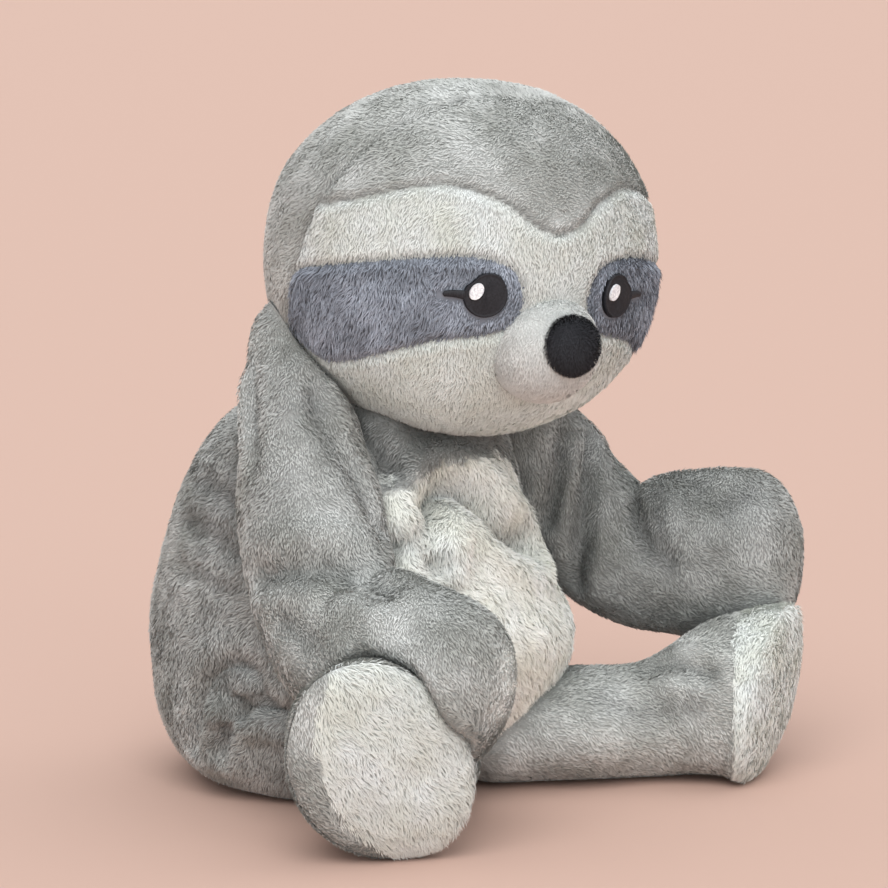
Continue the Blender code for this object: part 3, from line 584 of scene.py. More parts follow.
HEAD_SIZE = np.array((HEAD_WIDTH, HEAD_DEPTH, HEAD_HEIGHT))
HEAD_FRAME = (
    shifting(JOINTS["neck_turn"] + np.array((0, -HEAD_REACH, HEAD_RISE)))
    @ turning(HEAD_TURN, "z")
    @ turning(HEAD_ROLL, "y")
)
BACK_PANEL, CROWN, FOREHEAD, FACE, PATCH = range(5)
crown_line, cheek_line = curve_through(CROWN_SEAM_SHARES), curve_through(CHEEK_SEAM_SHARES)
patch_pixels = curve_through(PATCH_PIXELS, 8, closed=True)


def in_head(x, y, z):
    """A direction given in the head's own axes."""
    return HEAD_FRAME[:3, :3] @ np.array((x, y, z), float)


def head_ring(z):
    """The head's share of its half width and half depth at a share of its half height."""
    return (1 - np.abs(z) ** HEAD_FULLNESS) ** (1 / HEAD_FULLNESS)


def head_surface(x, z):
    """Points on the front of the head, from shares of half its width and height."""
    y = -np.sqrt(np.maximum(head_ring(z) ** 2 - x**2, 0))
    return placed(np.stack((x, y, z), -1) * HEAD_SIZE / 2, HEAD_FRAME)


def side_seam(z):
    """How far back the head's side seams lie at a share of its half height."""
    (top_y, top_z), (low_y, low_z) = SIDE_SEAM_SHARES
    return top_y + (z - top_z) / (low_z - top_z) * (low_y - top_y)


def head_panel(points):
    """Which panel of the head each point lies on."""
    near = local(points, HEAD_FRAME)
    x, y, z = (near / (HEAD_SIZE / 2)).T
    found = np.full(len(points), FACE)
    found[z > np.interp(np.abs(x), *cheek_line.T)] = FOREHEAD
    found[z > np.interp(np.abs(x), *crown_line.T)] = CROWN
    near[:, 0] = -np.abs(near[:, 0])
    found[inside(pixels_of(placed(near, HEAD_FRAME)), patch_pixels) & (y < 0.3)] = PATCH
    found[y > side_seam(z)] = BACK_PANEL
    return found


def head_seams():
    """Lines along the head's seams, in the world."""
    lines = []
    for side, _ in SIDES:
        shown = crown_line[crown_line[:, 0] < head_ring(crown_line[:, 1]) * 0.97]
        lines.append(head_surface(side * shown[:, 0], shown[:, 1]))
        rim = local(smooth_head.cast(patch_pixels), HEAD_FRAME) * (-side, 1, 1)
        lines.append(placed(rim, HEAD_FRAME))
        z = np.linspace(0.93, -0.85, 60)
        y = side_seam(z)
        x = side * np.sqrt(np.maximum(head_ring(z) ** 2 - y**2, 0))
        seam = np.stack((x, y, z), 1)[np.abs(x) > 0]
        lines.append(placed(seam * HEAD_SIZE / 2, HEAD_FRAME))
    return lines


# Pile: many narrow tufts that lie the way that the cloth is brushed, and rise by angles in degrees; depth is
# the tone of painted shade at their roots

PILE_FIELDS = "length width per_area rise tip_rise swirl depth ruffle stray"
Pile = namedtuple("Pile", PILE_FIELDS, defaults=(0.5, 0.22))


class Roots:
    """Where tufts stand on a form."""

    def __init__(self, form, per_area, seed, where):
        rng = np.random.default_rng(seed)
        faces, areas = form.faces[where], form.areas[where]
        count = np.floor(areas * per_area + rng.random(len(areas))).astype(int)
        picked = faces[np.repeat(np.arange(len(faces)), count)]
        first, second = np.sqrt(rng.random(len(picked))), rng.random(len(picked))
        weights = np.stack((1 - first, first * (1 - second), first * second), 1)[..., None]
        self.points = (form.points[picked] * weights).sum(1)
        self.normals = unit((form.normals[picked] * weights).sum(1))
        self.layout = form.layout[picked[:, 0]]
        self.shade = form.shade[picked[:, 0]]
        self.cut = np.ones(len(picked))
        self.rng = rng

    def only(self, keep):
        rows = self.points, self.normals, self.layout, self.shade, self.cut
        self.points, self.normals, self.layout, self.shade, self.cut = (row[keep] for row in rows)

    def meet(self, forms, reach, painted_shade):
        """Shortens the pile next to other forms and darkens it there with painted shade, and leaves out what
        lies deep within them.
        """
        height = np.min([form.height_over(self.points, 2 * reach) for form in forms], axis=0)
        self.shade = self.shade * (1 - painted_shade * np.exp(-np.maximum(height, 0) / reach * 2))
        self.cut = self.cut * grown(0.35, np.abs(height), CONTACT_PILE)
        self.only(height > -CONTACT_DEPTH)


def tufts(roots, pile, comb, shorter=1.0):
    """Points, faces, tone, layout and normals of tufts, each a narrow blade that ends in a point."""
    rng, points, normals = roots.rng, roots.points, roots.normals
    count = len(points)

    def rising(angle, spread, size, seed):
        own = 0.12 * rng.normal(size=(count, 1))
        return radians(angle) + spread * clouds(points, size, seed)[:, None] + own

    comb = np.broadcast_to(comb, points.shape)
    way = unit(comb - dot(comb, normals) * normals)
    beside = np.cross(normals, way)
    swirl = pile.swirl * (clouds(points, SWIRL_FINE, 5) + 0.8 * clouds(points, SWIRL_WIDE, 6))
    swirl = (swirl + pile.stray * rng.normal(size=count))[:, None]
    way = np.cos(swirl) * way + np.sin(swirl) * beside
    beside = np.cross(normals, way)
    length = (pile.length * roots.cut * rng.uniform(0.75, 1.15, count) * shorter)[:, None]
    lift = rising(pile.rise, 0.3, LIFT_CLOUD, 7)
    tip_lift = rising(pile.tip_rise, 0.25, TIP_CLOUD, 8)
    middle = points + 0.45 * length * (np.sin(lift) * normals + np.cos(lift) * way)
    tip = middle + 0.55 * length * (np.sin(tip_lift) * normals + np.cos(tip_lift) * way)
    twist = 0.45 * rng.normal(size=(count, 1))
    across = np.cos(twist) * beside + np.sin(twist) * normals
    half = 0.5 * pile.width * rng.uniform(0.75, 1.25, (count, 1))
    blade = np.stack((points - ROOT_DEPTH * normals, middle + half * across, middle - half * across, tip), 1)
    first = 4 * np.arange(count)[:, None, None]
    faces = (first + np.array(((0, 2, 1), (1, 2, 3)))).reshape(-1, 3)
    lean = unit(np.cross(tip - points, across))
    lean = pile.ruffle * np.sign(dot(lean, normals)) * lean
    lean = unit(normals + lean + 0.15 * pile.ruffle * rng.normal(size=points.shape))
    shade = 0.07 * rng.normal(size=count)
    shade = shade + 0.11 * clouds(points, TONE_FINE, 9) + 0.07 * clouds(points, TONE_WIDE, 10)
    shade = (1 + 2 * pile.ruffle * shade) * roots.shade
    # Painted shade deep in the pile: each blade darker at its root by the pile's depth, and its tip lighter
    # as a painted highlight
    tone = shade[:, None] * np.array((pile.depth, 0.92, 0.92, 1.07))
    corner = np.array(((0.5, 0), (1, 1), (0, 1), (0.5, 2))) * TUFT_LAYOUT_SHARE
    layout = roots.layout[:, None] + corner
    return blade.reshape(-1, 3), faces, tone.ravel(), layout.reshape(-1, 2), np.repeat(lean, 4, axis=0)


def grown_faces(form, where):
    """The faces picked and those that share a point with them."""
    used = np.zeros(len(form.points), bool)
    used[form.faces[where].ravel()] = True
    return used[form.faces].any(1)


def cloth(form, where, tone=0.68):
    """The cloth of a piece: the faces of a form that belong to it, darkened by tone as painted shade under
    the pile.
    """
    used, index = np.unique(form.faces[where], return_inverse=True)
    rows = form.points, form.shade, form.layout, form.normals
    points, shade, layout, normals = (row[used] for row in rows)
    return points, index.reshape(-1, 3), tone * shade, layout, normals


def stacked(parts):
    """Points, faces, tone, layout and normals of several parts as one."""
    starts = np.cumsum([0] + [len(part[0]) for part in parts[:-1]])
    faces = np.vstack([part[1] + start for part, start in zip(parts, starts)])
    points, _, tone, layout, normals = (np.concatenate(rows) for rows in zip(*parts))
    return points, faces, tone, layout, normals


def joined(*forms):
    """Whole forms as one cloth of an even tone."""
    return stacked([(f.points, f.faces, np.ones(len(f.points)), f.layout, f.normals) for f in forms])


def add_object(name, data):
    thing = bpy.data.objects.new(name, data)
    bpy.context.scene.collection.objects.link(thing)
    return thing


def new_piece(name, parts, finish, slot, fill, *nodes, body=None):
    """A piece from its cloth and its tufts, the nodes that it stands for and the body that it rides on;
    its material's slot and how full it is where it is padded are not used."""
    points, faces, tone, _, normals = stacked(parts)
    margin, low = LAYOUT_MARGINS
    layout = np.vstack([part[3] * LAYOUT_SHARES + (margin, low + 0.5 * k) for k, part in enumerate(parts)])
    mesh = bpy.data.meshes.new(name)
    mesh.vertices.add(len(points))
    mesh.vertices.foreach_set("co", points.astype(np.float32).ravel())
    mesh.loops.add(faces.size)
    mesh.loops.foreach_set("vertex_index", faces.astype(np.int32).ravel())
    mesh.polygons.add(len(faces))
    mesh.polygons.foreach_set("loop_start", np.arange(0, faces.size, 3, dtype=np.int32))
    mesh.update(calc_edges=True)
    mesh.shade_smooth()
    mesh.attributes.new("tone", "FLOAT", "POINT").data.foreach_set("value", tone.astype(np.float32))
    corners = layout[faces]
    across = corners[..., 0]
    wraps = across.max(1) - across.min(1) > 0.5
    across[wraps] += np.where(across[wraps] < 0.5, LAYOUT_SHARES[0], 0)
    across *= 0.97
    mesh.uv_layers.new(name="OFBake").data.foreach_set("uv", corners.astype(np.float32).ravel())
    mesh.normals_split_custom_set_from_vertices(normals.tolist())
    mesh.materials.append(finish)
    piece = add_object(name, mesh)
    if body:
        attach(piece, body)
    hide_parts(*nodes)
    return piece


# Materials

def settle(node, **inputs):
    """Sets a node's inputs by their names, with underscores for the spaces."""
    for name, value in inputs.items():
        node.inputs[name.replace("_", " ")].default_value = value
    return node


def new_material(name):
    made = bpy.data.materials.new(name)
    made.use_nodes = True
    return made, made.node_tree, made.node_tree.nodes["Principled BSDF"]


def clouded(tree, low, high, starts, **noise_inputs):
    """Soft clouds between two colours: the noise and the ramp that colours it."""
    noise = settle(tree.nodes.new("ShaderNodeTexNoise"), **noise_inputs)
    ramp = tree.nodes.new("ShaderNodeValToRGB")
    for element, start, colour in zip(ramp.color_ramp.elements, starts, (low, high)):
        element.position = start
        element.color = (*colour, 1)
    tree.links.new(noise.outputs["Fac"], ramp.inputs["Fac"])
    return noise, ramp


def plush(name, colour, spread=0.1, warm=(1, 1, 1), sheen=0.35, clump=38):
    """Brushed pile: colour by the tufts' tone, which holds painted shade and light, with soft clouds where
    the pile lies another way.
    """
    made, tree, shader = new_material(name)
    low = [c * (1 - spread) * w for c, w in zip(colour, warm)]
    high = [min(c * (1 + spread), 1) for c in colour]
    noise, ramp = clouded(tree, low, high, (0.32, 0.68), Scale=clump, Detail=3)
    place = tree.nodes.new("ShaderNodeTexCoord")
    tone = tree.nodes.new("ShaderNodeAttribute")
    tone.attribute_name = "tone"
    scaled = tree.nodes.new("ShaderNodeVectorMath")
    scaled.operation = "SCALE"
    fibres = settle(tree.nodes.new("ShaderNodeTexNoise"), Scale=FIBRES_PER_METRE)
    bump = settle(tree.nodes.new("ShaderNodeBump"), Strength=0.25, Distance=FIBRE_HEIGHT)
    for source, target in (
        (place.outputs["Object"], noise.inputs["Vector"]),
        (place.outputs["Object"], fibres.inputs["Vector"]),
        (ramp.outputs["Color"], scaled.inputs[0]),
        (tone.outputs["Fac"], scaled.inputs["Scale"]),
        (scaled.outputs["Vector"], shader.inputs["Base Color"]),
        (fibres.outputs["Fac"], bump.inputs["Height"]),
        (bump.outputs["Normal"], shader.inputs["Normal"]),
    ):
        tree.links.new(source, target)
    settle(shader, Roughness=0.95, Specular_IOR_Level=0.15, Sheen_Weight=sheen, Sheen_Roughness=0.45)
    settle(shader, Sheen_Tint=(*[min(1, c * 1.3 + 0.1) for c in colour], 1))
    return made


def stitching(name, colour, gloss=0.5, shine=0.5):
    """Satin stitches: glossy thread, a little lighter and darker from thread to thread."""
    made = plush(name, colour, spread=0.25, sheen=0.02, clump=900)
    settle(made.node_tree.nodes["Principled BSDF"], Roughness=1 - gloss, Specular_IOR_Level=shine)
    return made


def paint(name, colour):
    """The floor's matt paint, a trace darker in wide clouds."""
    made, tree, shader = new_material(name)
    _, ramp = clouded(tree, [c * 0.985 for c in colour], colour, (0, 1), Scale=3)
    tree.links.new(ramp.outputs["Color"], shader.inputs["Base Color"])
    settle(shader, Roughness=0.9, Specular_IOR_Level=0.1)
    return made


FIBRES_PER_METRE, FIBRE_HEIGHT = 1400, 0.0003
grey = plush("grey_pile", (0.56, 0.57, 0.555), spread=0.22, warm=(0.98, 0.985, 0.95), clump=30)
cream = plush("cream_pile", (0.81, 0.84, 0.825), spread=0.05, warm=(0.99, 0.98, 0.92))
# The face's cream, tinted cooler than the other cream against the floor's warm bounce light: painted light
cheek = plush("cheek_pile", (0.8, 0.865, 0.85), spread=0.05, warm=(0.99, 0.98, 0.94))
creamy = plush("belly_pile", (0.84, 0.855, 0.825), spread=0.05, warm=(0.98, 0.97, 0.91))
slate = plush("slate_pile", (0.31, 0.34, 0.395), spread=0.24)
pale = plush("muzzle_pile", (0.76, 0.775, 0.755), spread=0.03)
black = plush("nose_pile", (0.044, 0.045, 0.051), spread=0.2, sheen=0.14)
thread = stitching("eye_thread", (0.022, 0.022, 0.026), gloss=0.45, shine=0.25)
bright = stitching("highlight_thread", (0.8, 0.8, 0.86))
filling = plush("fibre", (0.8, 0.8, 0.78), spread=0.05)

BODY_PILE = Pile(0.0038, 0.0006, 1_150_000, 44, 14, 0.66, 0.58, 0.6)
TRUNK_PILE = Pile(0.0041, 0.0006, 1_150_000, 48, 18, 0.8, 0.44, 0.85)
HEAD_PILE = Pile(0.0036, 0.00056, 1_150_000, 42, 12, 0.66, 0.78, 0.34)
CREAM_PILE = Pile(0.004, 0.00054, 1_400_000, 38, 10, 0.5, 0.96, 0.18)
BELLY_PILE = Pile(0.006, 0.0006, 1_250_000, 44, 12, 0.66, 0.93, 0.2)
PATCH_PILE = Pile(0.0058, 0.0006, 1_300_000, 48, 20, 0.6, 0.34, 0.95)
SOLE_PILE = Pile(0.0056, 0.00056, 1_300_000, 42, 12, 0.6, 0.95, 0.19)
SHORT_PILE = Pile(0.0024, 0.00044, 2_600_000, 42, 14, 0.8, 0.9, 0.34)
NOSE_PILE = Pile(0.0026, 0.0004, 3_000_000, 60, 40, 0.6, 0.7, stray=0.45)


# The belly panel's outline

belly_right, belly_left = curve_through(BELLY_RIGHT_SHARES, 6), curve_through(BELLY_LEFT_SHARES, 6)
belly_outline = np.vstack((belly_left, belly_right[::-1] * (-1, 1)))
belly_edge = np.stack((belly_outline[:, 0] * TRUNK_WIDTH / 2, belly_outline[:, 1] * TRUNK_HEIGHT), 1)


def on_belly(points):
    """Which points lie on the belly panel, whose edge is a little ragged."""
    coarse, fine = (clouds(points, size, seed) for size, seed in zip(RAGGED_SIZES, (81, 82)))
    share = np.stack((points[:, 0] / (TRUNK_WIDTH / 2), points[:, 2] / TRUNK_HEIGHT), 1)
    share[:, 1] += RAGGED_SHARE * (coarse + 0.7 * fine)
    return inside(share, belly_outline) & (points[:, 1] < 0)


def from_belly_edge(points):
    return line_distance(points[:, (0, 2)], belly_edge, closed=True)


# Forms, folds and contacts

trunk = trunk_form()
smooth_head = egg_form(HEAD_SIZE, 110, 190, HEAD_FRAME, HEAD_FULLNESS)
shape = local(smooth_head.points, HEAD_FRAME)
shape[:, 2] = np.where(shape[:, 2] < 0, CHIN_SHARE * shape[:, 2], shape[:, 2])
smooth_head.points = placed(shape, HEAD_FRAME)
smooth_head.refresh()
head = smooth_head.copy()
arms = {side: arm_form(side, label) for side, label in SIDES}
legs = {side: leg_form(side, label) for side, label in SIDES}

muzzle_place = np.array((0, -HEAD_DEPTH / 2 * MUZZLE_SHARES[0], HEAD_HEIGHT / 2 * MUZZLE_SHARES[1]))
muzzle = egg_form(MUZZLE_SIZE, 60, 90, HEAD_FRAME @ shifting(muzzle_place))
nose_front = NOSE_SHARES[0] * NOSE_SIZE[1] / 2 - MUZZLE_SIZE[1] / 2 - NOSE_REACH
nose_place = muzzle_place + np.array((0, nose_front, NOSE_SHARES[1] * MUZZLE_SIZE[2]))
nose = egg_form(NOSE_SIZE, 36, 60, HEAD_FRAME @ shifting(nose_place))

# Each form's tone is partly how its pile is brushed and partly painted light and shade for how the light
# falls on it; folds bring painted shade, and the listed places brushing, painted light and painted shade
for form, tone, folds, brushing_and_light in (
    (trunk, 0.78, TRUNK_FOLDS, TRUNK_BRUSHING_AND_SHADE),
    (head, 1.0, (), HEAD_BRUSHING_AND_LIGHT),
    (arms[RIGHT], 0.9, RIGHT_ARM_FOLDS, RIGHT_ARM_MARKS),
    (arms[LEFT], 0.8, LEFT_ARM_FOLDS, LEFT_ARM_MARKS),
    (legs[RIGHT], 1.02, (), ()),
    (legs[LEFT], 1.12, LEFT_LEG_FOLDS, LEFT_LEG_MARKS),
):
    lines = [form.cast(pixels) for pixels, _, _ in folds]
    for line, (_, width, depth) in zip(lines, folds):
        if len(line) > 1:
            form.crease(curve_through(line, 4), width, depth)
    form.shade = form.shade * tone
    seen, facing = pixels_of(form.points), np.clip(2 * form.normals @ BACK + 0.6, 0, 1)
    for pixel, size, change in brushing_and_light:
        away = np.linalg.norm(seen - pixel, axis=1) / size
        form.shade = form.shade * (1 + change * facing * bell(away))
# The belly panel lighter: this undoes the trunk cover's lower tone and adds painted light where the head
# shades it
trunk.shade[on_belly(trunk.points)] *= BELLY_TONE
# The near hand's lower part lighter: partly brushing, partly painted light
hand = np.clip((pixels_of(arms[RIGHT].points)[:, 1] - HAND_TOP_PIXEL) / HAND_BLEND_PIXELS, 0, 1)
arms[RIGHT].shade *= 1 + HAND_TONE * hand

trunk.lumps(*TRUNK_LUMPS)
for side, _ in SIDES:
    legs[side].relax(rounds=8, share=0.5)
    legs[side].lumps(*LEG_LUMPS)
    arms[side].lumps(*ARM_LUMPS)
    legs[side].stand_on_floor()
arm_solids = [arms[side].copy() for side, _ in SIDES]
for side, _ in SIDES:
    arms[side].press_out_of(trunk, CLOTH_GAP)
    arms[side].press_out_of(head, HEAD_GAP)
    arms[side].relax(rounds=3, share=0.4)
    arms[side].yield_to(legs[side], CLOTH_GAP)
    arms[side].relax(rounds=3, share=0.5)
head.lumps(*HEAD_LUMPS)
seams = head_seams()
# Seams pressed in, with painted shade along them
for line in seams:
    head.crease(line, SEAM_WIDTH, SEAM_DEPTH, lip=0.3)


# Stitched eyes

def head_eye(side):
    """Middle of an eye and the axes outwards, upwards and out of the head there."""
    turn, z = side * asin(EYE_SHARES[0]), EYE_SHARES[1]
    place = head_surface(sin(turn) * head_ring(z), z)
    out = in_head(cos(turn) * side, sin(turn) * side, 0)
    normal = HEAD_FRAME[:3, :3] @ unit(np.array((sin(turn), -cos(turn), z * 0.9)))
    out = unit(out - (out @ normal) * normal)
    return place, out, unit(np.cross(normal, out)) * side, normal


eyes = {side: head_eye(side) for side, _ in SIDES}


def eye_radius(turn):
    """Half the eye's size at an angle from its outer side upwards: a disc with a flat part and a corner."""
    flat, corner = bell((turn - radians(48)) / 0.42), bell((turn - radians(122)) / 0.4)
    return EYE_SIZE / 2 * (1 - 0.15 * flat + 0.08 * corner)


def glint_radius(turn, side):
    """Half the size of an eye's bright spot, a tilted oval, at an angle."""
    tilt = turn - GLINT_TURNS[side]
    return 1 / np.sqrt((np.cos(tilt) / GLINT_LONG) ** 2 + (np.sin(tilt) / GLINT_SHORT) ** 2)


def eye_gap(points):
    """How far roots lie from the stitched eyes and lashes."""
    gap = np.full(len(points), np.inf)
    for place, out, up, _ in eyes.values():
        q = points - place
        a, b = q @ out, q @ up
        round_part = np.hypot(a, b) - eye_radius(np.arctan2(b, a))
        along = np.clip(a, EYE_SIZE / 2, EYE_SIZE / 2 + LASH_LENGTH)
        lash = np.hypot(a - along, b) - LASH_WIDTH / 2
        near = np.linalg.norm(q, axis=1) < 2 * EYE_SIZE
        gap = np.where(near, np.minimum(gap, np.minimum(round_part, lash)), gap)
    return gap


def onto_head(points, normal):
    """Points moved along an eye's normal onto the head."""
    start = EYE_SIZE * normal
    hits = [smooth_head.tree.ray_cast(Vector(point + start), Vector(-normal))[0] for point in points]
    return np.array(hits)


def thread_form(side, turn, radius, middle, base, thickness, pitch, rings=26):
    """A stitched spot of a half size at each angle: rows of thread inside a rim of short stitches."""
    place, out, up, normal = eyes[side]
    share = np.linspace(0, 1, rings + 1)[1:, None]
    reach = radius * share
    a, b = middle[0] + reach * np.cos(turn), middle[1] + reach * np.sin(turn)
    rows = np.abs(np.sin(pi * (a + 0.4 * b * b / EYE_SIZE) / pitch))
    stitches = np.abs(np.sin(0.5 * turn * len(turn) / 2.5))
    height = thickness * (0.75 + 0.25 * np.where(share > 0.86, stitches, rows))
    height = height + 0.3 * thickness * bell((share - 0.93) / 0.05)
    height = np.where(share > 0.985, -0.6 * base, height)
    flat = place + a[..., None] * out + b[..., None] * up
    onto = onto_head(flat.reshape(-1, 3), normal).reshape(flat.shape)
    centre = onto_head([place + middle[0] * out + middle[1] * up], normal)[0]
    layers = onto + (base + height)[..., None] * normal
    return form_of_rings(layers[::-1], centre, centre + (base + thickness) * normal)


def lash_form(side, rows=26, sides=20):
    """The lash: a flat tapering bar of thread from the eye's outer side."""
    place, out, up, normal = eyes[side]
    share = np.linspace(0, 1, rows)
    along = EYE_SIZE / 2 * 0.92 + share * (LASH_LENGTH + LASH_OVERRUN)
    end = np.clip(1 - (share - 0.93).clip(0) / 0.075, 0.02, 1)
    half = LASH_WIDTH / 2 * (1.05 - 0.42 * share) * np.sqrt(end)
    rise = LASH_BOW * np.sin(3.0 * share)
    turn = circle(sides)
    middle = onto_head(place + along[:, None] * out + rise[:, None] * up, normal) + LASH_BASE * normal
    ridge = 1 + 0.1 * np.sin(2 * pi * along / LASH_PITCH)[:, None]
    rings = middle[:, None] + (half[:, None] * np.cos(turn))[..., None] * up
    rings = rings + (LASH_THICKNESS * ridge * np.sin(turn))[..., None] * normal
    return form_of_rings(rings, middle[0], middle[-1])


# Head pieces

def panel_piece(node, panel, side, brushing, pile, finish, slot, seed, *fillings):
    """One panel of the head, or its half on one side, with pile that gives way to seams, eyes and muzzle."""
    def belongs(points):
        found = head_panel(points) == panel
        return found & (np.sign(local(points, HEAD_FRAME)[:, 0]) == side) if side else found

    shown = belongs(head.middles)
    roots = Roots(head, pile.per_area, seed, grown_faces(head, shown))
    roots.only(belongs(roots.points))
    roots.meet((trunk, *arm_solids), *HEAD_CONTACT)
    over_muzzle, gap = muzzle.height_over(roots.points), eye_gap(roots.points)
    keep = (gap > EYE_MARGIN) & (over_muzzle > -MUZZLE_OVERLAP)
    roots.only(keep)
    from_seam = np.min([line_distance(roots.points, line) for line in seams], axis=0)
    shorter = grown(0.55, from_seam, SEAM_REACH) * grown(0.45, gap[keep], EYE_REACH)
    shorter *= grown(0.45, over_muzzle[keep], MUZZLE_REACH)
    parts = [cloth(head, shown), tufts(roots, pile, in_head(*brushing), shorter)]
    new_piece(f"{node}_pile", parts, finish, slot, 0.7, node, *fillings, body="head")


def short_piece(node, form, carrier, sink, brushing, pile, finish, slot, seed):
    """A small filled piece with short pile, shown where it stands out of what it is sewn to."""
    shown = carrier.height_over(form.middles) > -sink
    roots = Roots(form, pile.per_area, seed, shown)
    # The cloth under the short pile is darkened as painted shade
    parts = [cloth(form, shown, 0.8), tufts(roots, pile, in_head(*brushing))]
    new_piece(f"{node}_pile", parts, finish, slot, 0.9, node, body="head")


panel_piece(
    "head_back_panel", BACK_PANEL, 0, (-0.15, 0.5, -0.85), HEAD_PILE, grey, "grey_plush", 11, "head_stuffing"
)
panel_piece("crown_panel", CROWN, 0, (-0.92, 0.25, -0.28), HEAD_PILE, grey, "grey_plush", 12)
panel_piece("forehead_panel", FOREHEAD, 0, (-0.32, 0, -1), CREAM_PILE, cream, "cream_plush", 13)
panel_piece("face_panel", FACE, 0, (-0.05, 0, -1), CREAM_PILE, cheek, "cream_plush", 14)
for side, label in SIDES:
    node = f"eye_patch_{label}"
    panel_piece(node, PATCH, side, (-0.4, 0, -1), PATCH_PILE, slate, "slate_plush", 15 + side)
short_piece("muzzle", muzzle, head, MUZZLE_SINK, (0, 0.2, -1), SHORT_PILE, pale, "short_plush", 21)
short_piece("nose", nose, muzzle, NOSE_SINK, (0.1, 0, -1), NOSE_PILE, black, "black_plush", 22)

for side, label in SIDES:
    turn = circle(220)
    disc = thread_form(side, turn, eye_radius(turn), (0, 0), EYE_BASE, EYE_THICKNESS, EYE_PITCH)
    eye, node = [joined(disc, lash_form(side))], f"eye_{label}"
    new_piece(f"{node}_stitches", eye, thread, "black_stitching", None, node, body="head")
    turn = circle(90)
    size = glint_radius(turn, side)
    middle = (-side * GLINT_SHARES[0] * EYE_SIZE, GLINT_SHARES[1] * EYE_SIZE)
    spot = thread_form(side, turn, size, middle, GLINT_BASE, GLINT_THICKNESS, GLINT_PITCH, rings=14)
    node = f"eye_highlight_{label}"
    new_piece(f"{node}_stitches", [joined(spot)], bright, "white_stitching", None, node, body="head")


# Trunk pieces

front_faces = on_belly(trunk.middles)
others = (head, *arm_solids, *legs.values())
for side, label in SIDES:
    own = ~front_faces & (np.sign(trunk.middles[:, 0]) == side)
    roots = Roots(trunk, TRUNK_PILE.per_area, 31 + side, grown_faces(trunk, own))
    x, _, z = roots.points.T
    roots.only(~on_belly(roots.points) & (side * x > 0) & (z > TRUNK_LOWEST))
    roots.meet(others, *TRUNK_CONTACT)
    height = roots.points[:, 2]
    shorter = np.where(roots.points[:, 1] < 0, grown(0.6, from_belly_edge(roots.points), SEAM_REACH), 1)
    flow = np.stack((0.25 * np.sin(60 * height), np.full_like(height, 0.35), -np.ones_like(height)), 1)
    pile = tufts(roots, TRUNK_PILE, unit(flow), shorter * grown(0.35, height, FLOOR_REACH))
    new_piece(
        f"torso_cover_{label}_pile", [cloth(trunk, own), pile], grey, "grey_plush", 0.6,
        "torso_cover", "torso_stuffing", "bead_pouch", body="torso",
    )

roots = Roots(trunk, BELLY_PILE.per_area, 35, grown_faces(trunk, front_faces))
roots.only(on_belly(roots.points))
roots.meet(others, *BELLY_CONTACT)
fringe = np.where(roots.points[:, 2] < FRINGE_HEIGHT, FRINGE_SHARE, EDGE_SHARE)
longer = 1 + (fringe - 1) * np.clip(1 - from_belly_edge(roots.points) / SEAM_REACH, 0, 1)
parts = [cloth(trunk, front_faces), tufts(roots, BELLY_PILE, np.array((0.35, 0, -1)), longer)]
new_piece("belly_panel_pile", parts, creamy, "cream_plush", 0.5, "belly_panel", body="torso")


# Limbs

def on_sole(leg, points, side):
    """Which points lie on the cream panel under a foot, bounded by its seam in the photograph."""
    x, y = np.array(SOLE_PIXELS[side], float).T
    seen = pixels_of(points)
    at_end = local(points, leg.end_frame)[:, 2] > -SOLE_REACH[side]
    near = np.linalg.norm(points - leg.end_frame[:3, 3], axis=1) < 0.75 * FOOT_LENGTH[RIGHT]
    return at_end & near & (seen[:, 0] > np.interp(seen[:, 1], y, x))


def sleeve_comb(points, side, shoulder):
    """Down the sleeve, then along the forearm to the mitt."""
    elbow_height = shoulder[2] - 0.75 * UPPER_ARM
    share = np.clip((elbow_height + ELBOW_LEAD - points[:, 2]) / ELBOW_BLEND, 0, 1)[:, None]
    return unit((1 - share) * np.array((0.0, -0.2, -1.0)) + share * np.array((side * 0.3, -1.0, -0.35)))


def limb_piece(node, form, where, pile, finish, comb, seed, near, slot, fill, *fillings, body=None):
    """A limb's cover or sole, with pile brushed as comb says for its roots."""
    roots = Roots(form, pile.per_area, seed, where)
    roots.only(roots.points[:, 2] > LIMB_LOWEST)
    roots.meet(near, *LIMB_CONTACT)
    less = grown(0.35, roots.points[:, 2], FLOOR_REACH)
    parts = [cloth(form, where), tufts(roots, pile, comb(roots.points), less)]
    return new_piece(f"{node}_pile", parts, finish, slot, fill, node, *fillings, body=body)


for side, label in SIDES:
    arm, leg = arms[side], legs[side]
    shoulder, hip, way = JOINTS[f"arm_{label}_lift"], JOINTS[f"leg_{label}_splay"], heading(LEG_TURNS[side])
    sleeve = limb_piece(
        f"arm_cover_{label}", arm, np.ones(len(arm.faces), bool), BODY_PILE, grey,
        lambda points: sleeve_comb(points, side, shoulder), 41 + side, (trunk, leg, head),
        "grey_plush", 0.7, f"arm_stuffing_{label}",
    )
    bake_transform(sleeve)

    sole_faces = on_sole(leg, leg.middles, side)
    cover = limb_piece(
        f"leg_cover_{label}", leg, ~sole_faces, BODY_PILE, grey,
        lambda points: unit(0.8 * way - 0.5 * UP), 51 + side, (trunk, arm),
        "grey_plush", 0.7, f"leg_stuffing_{label}",
    )
    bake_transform(cover)
    limb_piece(
        f"sole_{label}", leg, sole_faces, SOLE_PILE, cream,
        lambda points: leg.end_frame[:3, 0] * side * 0.5 - UP, 61 + side, (trunk, arm),
        "cream_plush", 0.6, body=f"leg_{label}",
    )

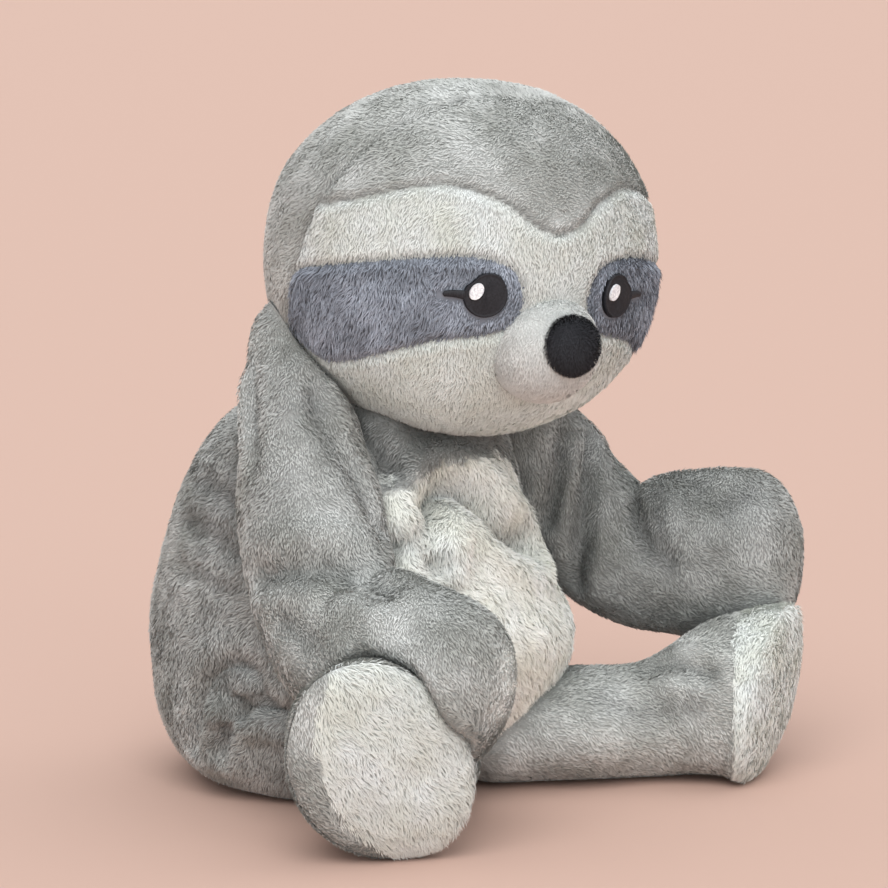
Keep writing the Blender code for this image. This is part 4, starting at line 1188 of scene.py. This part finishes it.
low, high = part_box("neck_stuffing")
neck = egg_form(np.array(high - low), 40, 60, shifting(np.array(low + high) / 2))
neck.lumps(*NECK_LUMPS)
new_piece("neck_filling", [joined(neck)], filling, "fibre_filling", 0.8, "neck_stuffing", body="neck")


# Floor, light and camera

FLOOR_SIDE = 60.0
corners = [(x * FLOOR_SIDE / 2, y * FLOOR_SIDE / 2, 0) for x, y in ((-1, -1), (1, -1), (1, 1), (-1, 1))]
floor_mesh = bpy.data.meshes.new("floor")
floor_mesh.from_pydata(corners, [], [(0, 1, 2, 3)])
floor_mesh.materials.append(paint("floor_paint", (0.615, 0.422, 0.35)))
add_object("floor", floor_mesh)


def sun(name, right, above, back, angle, strength, colour=(1, 1, 1)):
    """A wide, soft sun placed in the camera's axes, shining at the toy."""
    data = bpy.data.lights.new(name, "SUN")
    data.angle = radians(angle)
    data.energy = strength
    data.color = colour
    level = unit(np.array((BACK[0], BACK[1], 0)))
    toward = Vector(right * ACROSS + above * UP + back * level)
    add_object(name, data).rotation_euler = toward.to_track_quat("Z", "Y").to_euler()


sun("key", right=-0.15, above=1.0, back=0.8, angle=42, strength=1.5)
sun("front", right=0.15, above=0.06, back=1.0, angle=70, strength=1.65, colour=(0.9, 0.97, 1.0))
sun("top", right=0.3, above=1.0, back=-0.2, angle=60, strength=0.6)

world = bpy.data.worlds.new("studio")
world.use_nodes = True
settle(world.node_tree.nodes["Background"], Color=(0.96, 0.98, 1, 1), Strength=0.67)
bpy.context.scene.world = world
bpy.context.scene.view_settings.view_transform = "Standard"

camera_data = bpy.data.cameras.new("camera")
camera_data.sensor_width = SENSOR * MILLIMETRES
camera_data.lens = SENSOR * MILLIMETRES * CAMERA_DISTANCE / (PHOTO_SIDE * PIXEL_SIZE)
camera = add_object("camera", camera_data)
camera.location = Vector(CAMERA_PLACE)
middle_way = Vector(pixel_way((PHOTO_SIDE / 2, PHOTO_SIDE / 2)))
camera.rotation_euler = middle_way.to_track_quat("-Z", "Y").to_euler()
bpy.context.scene.camera = camera
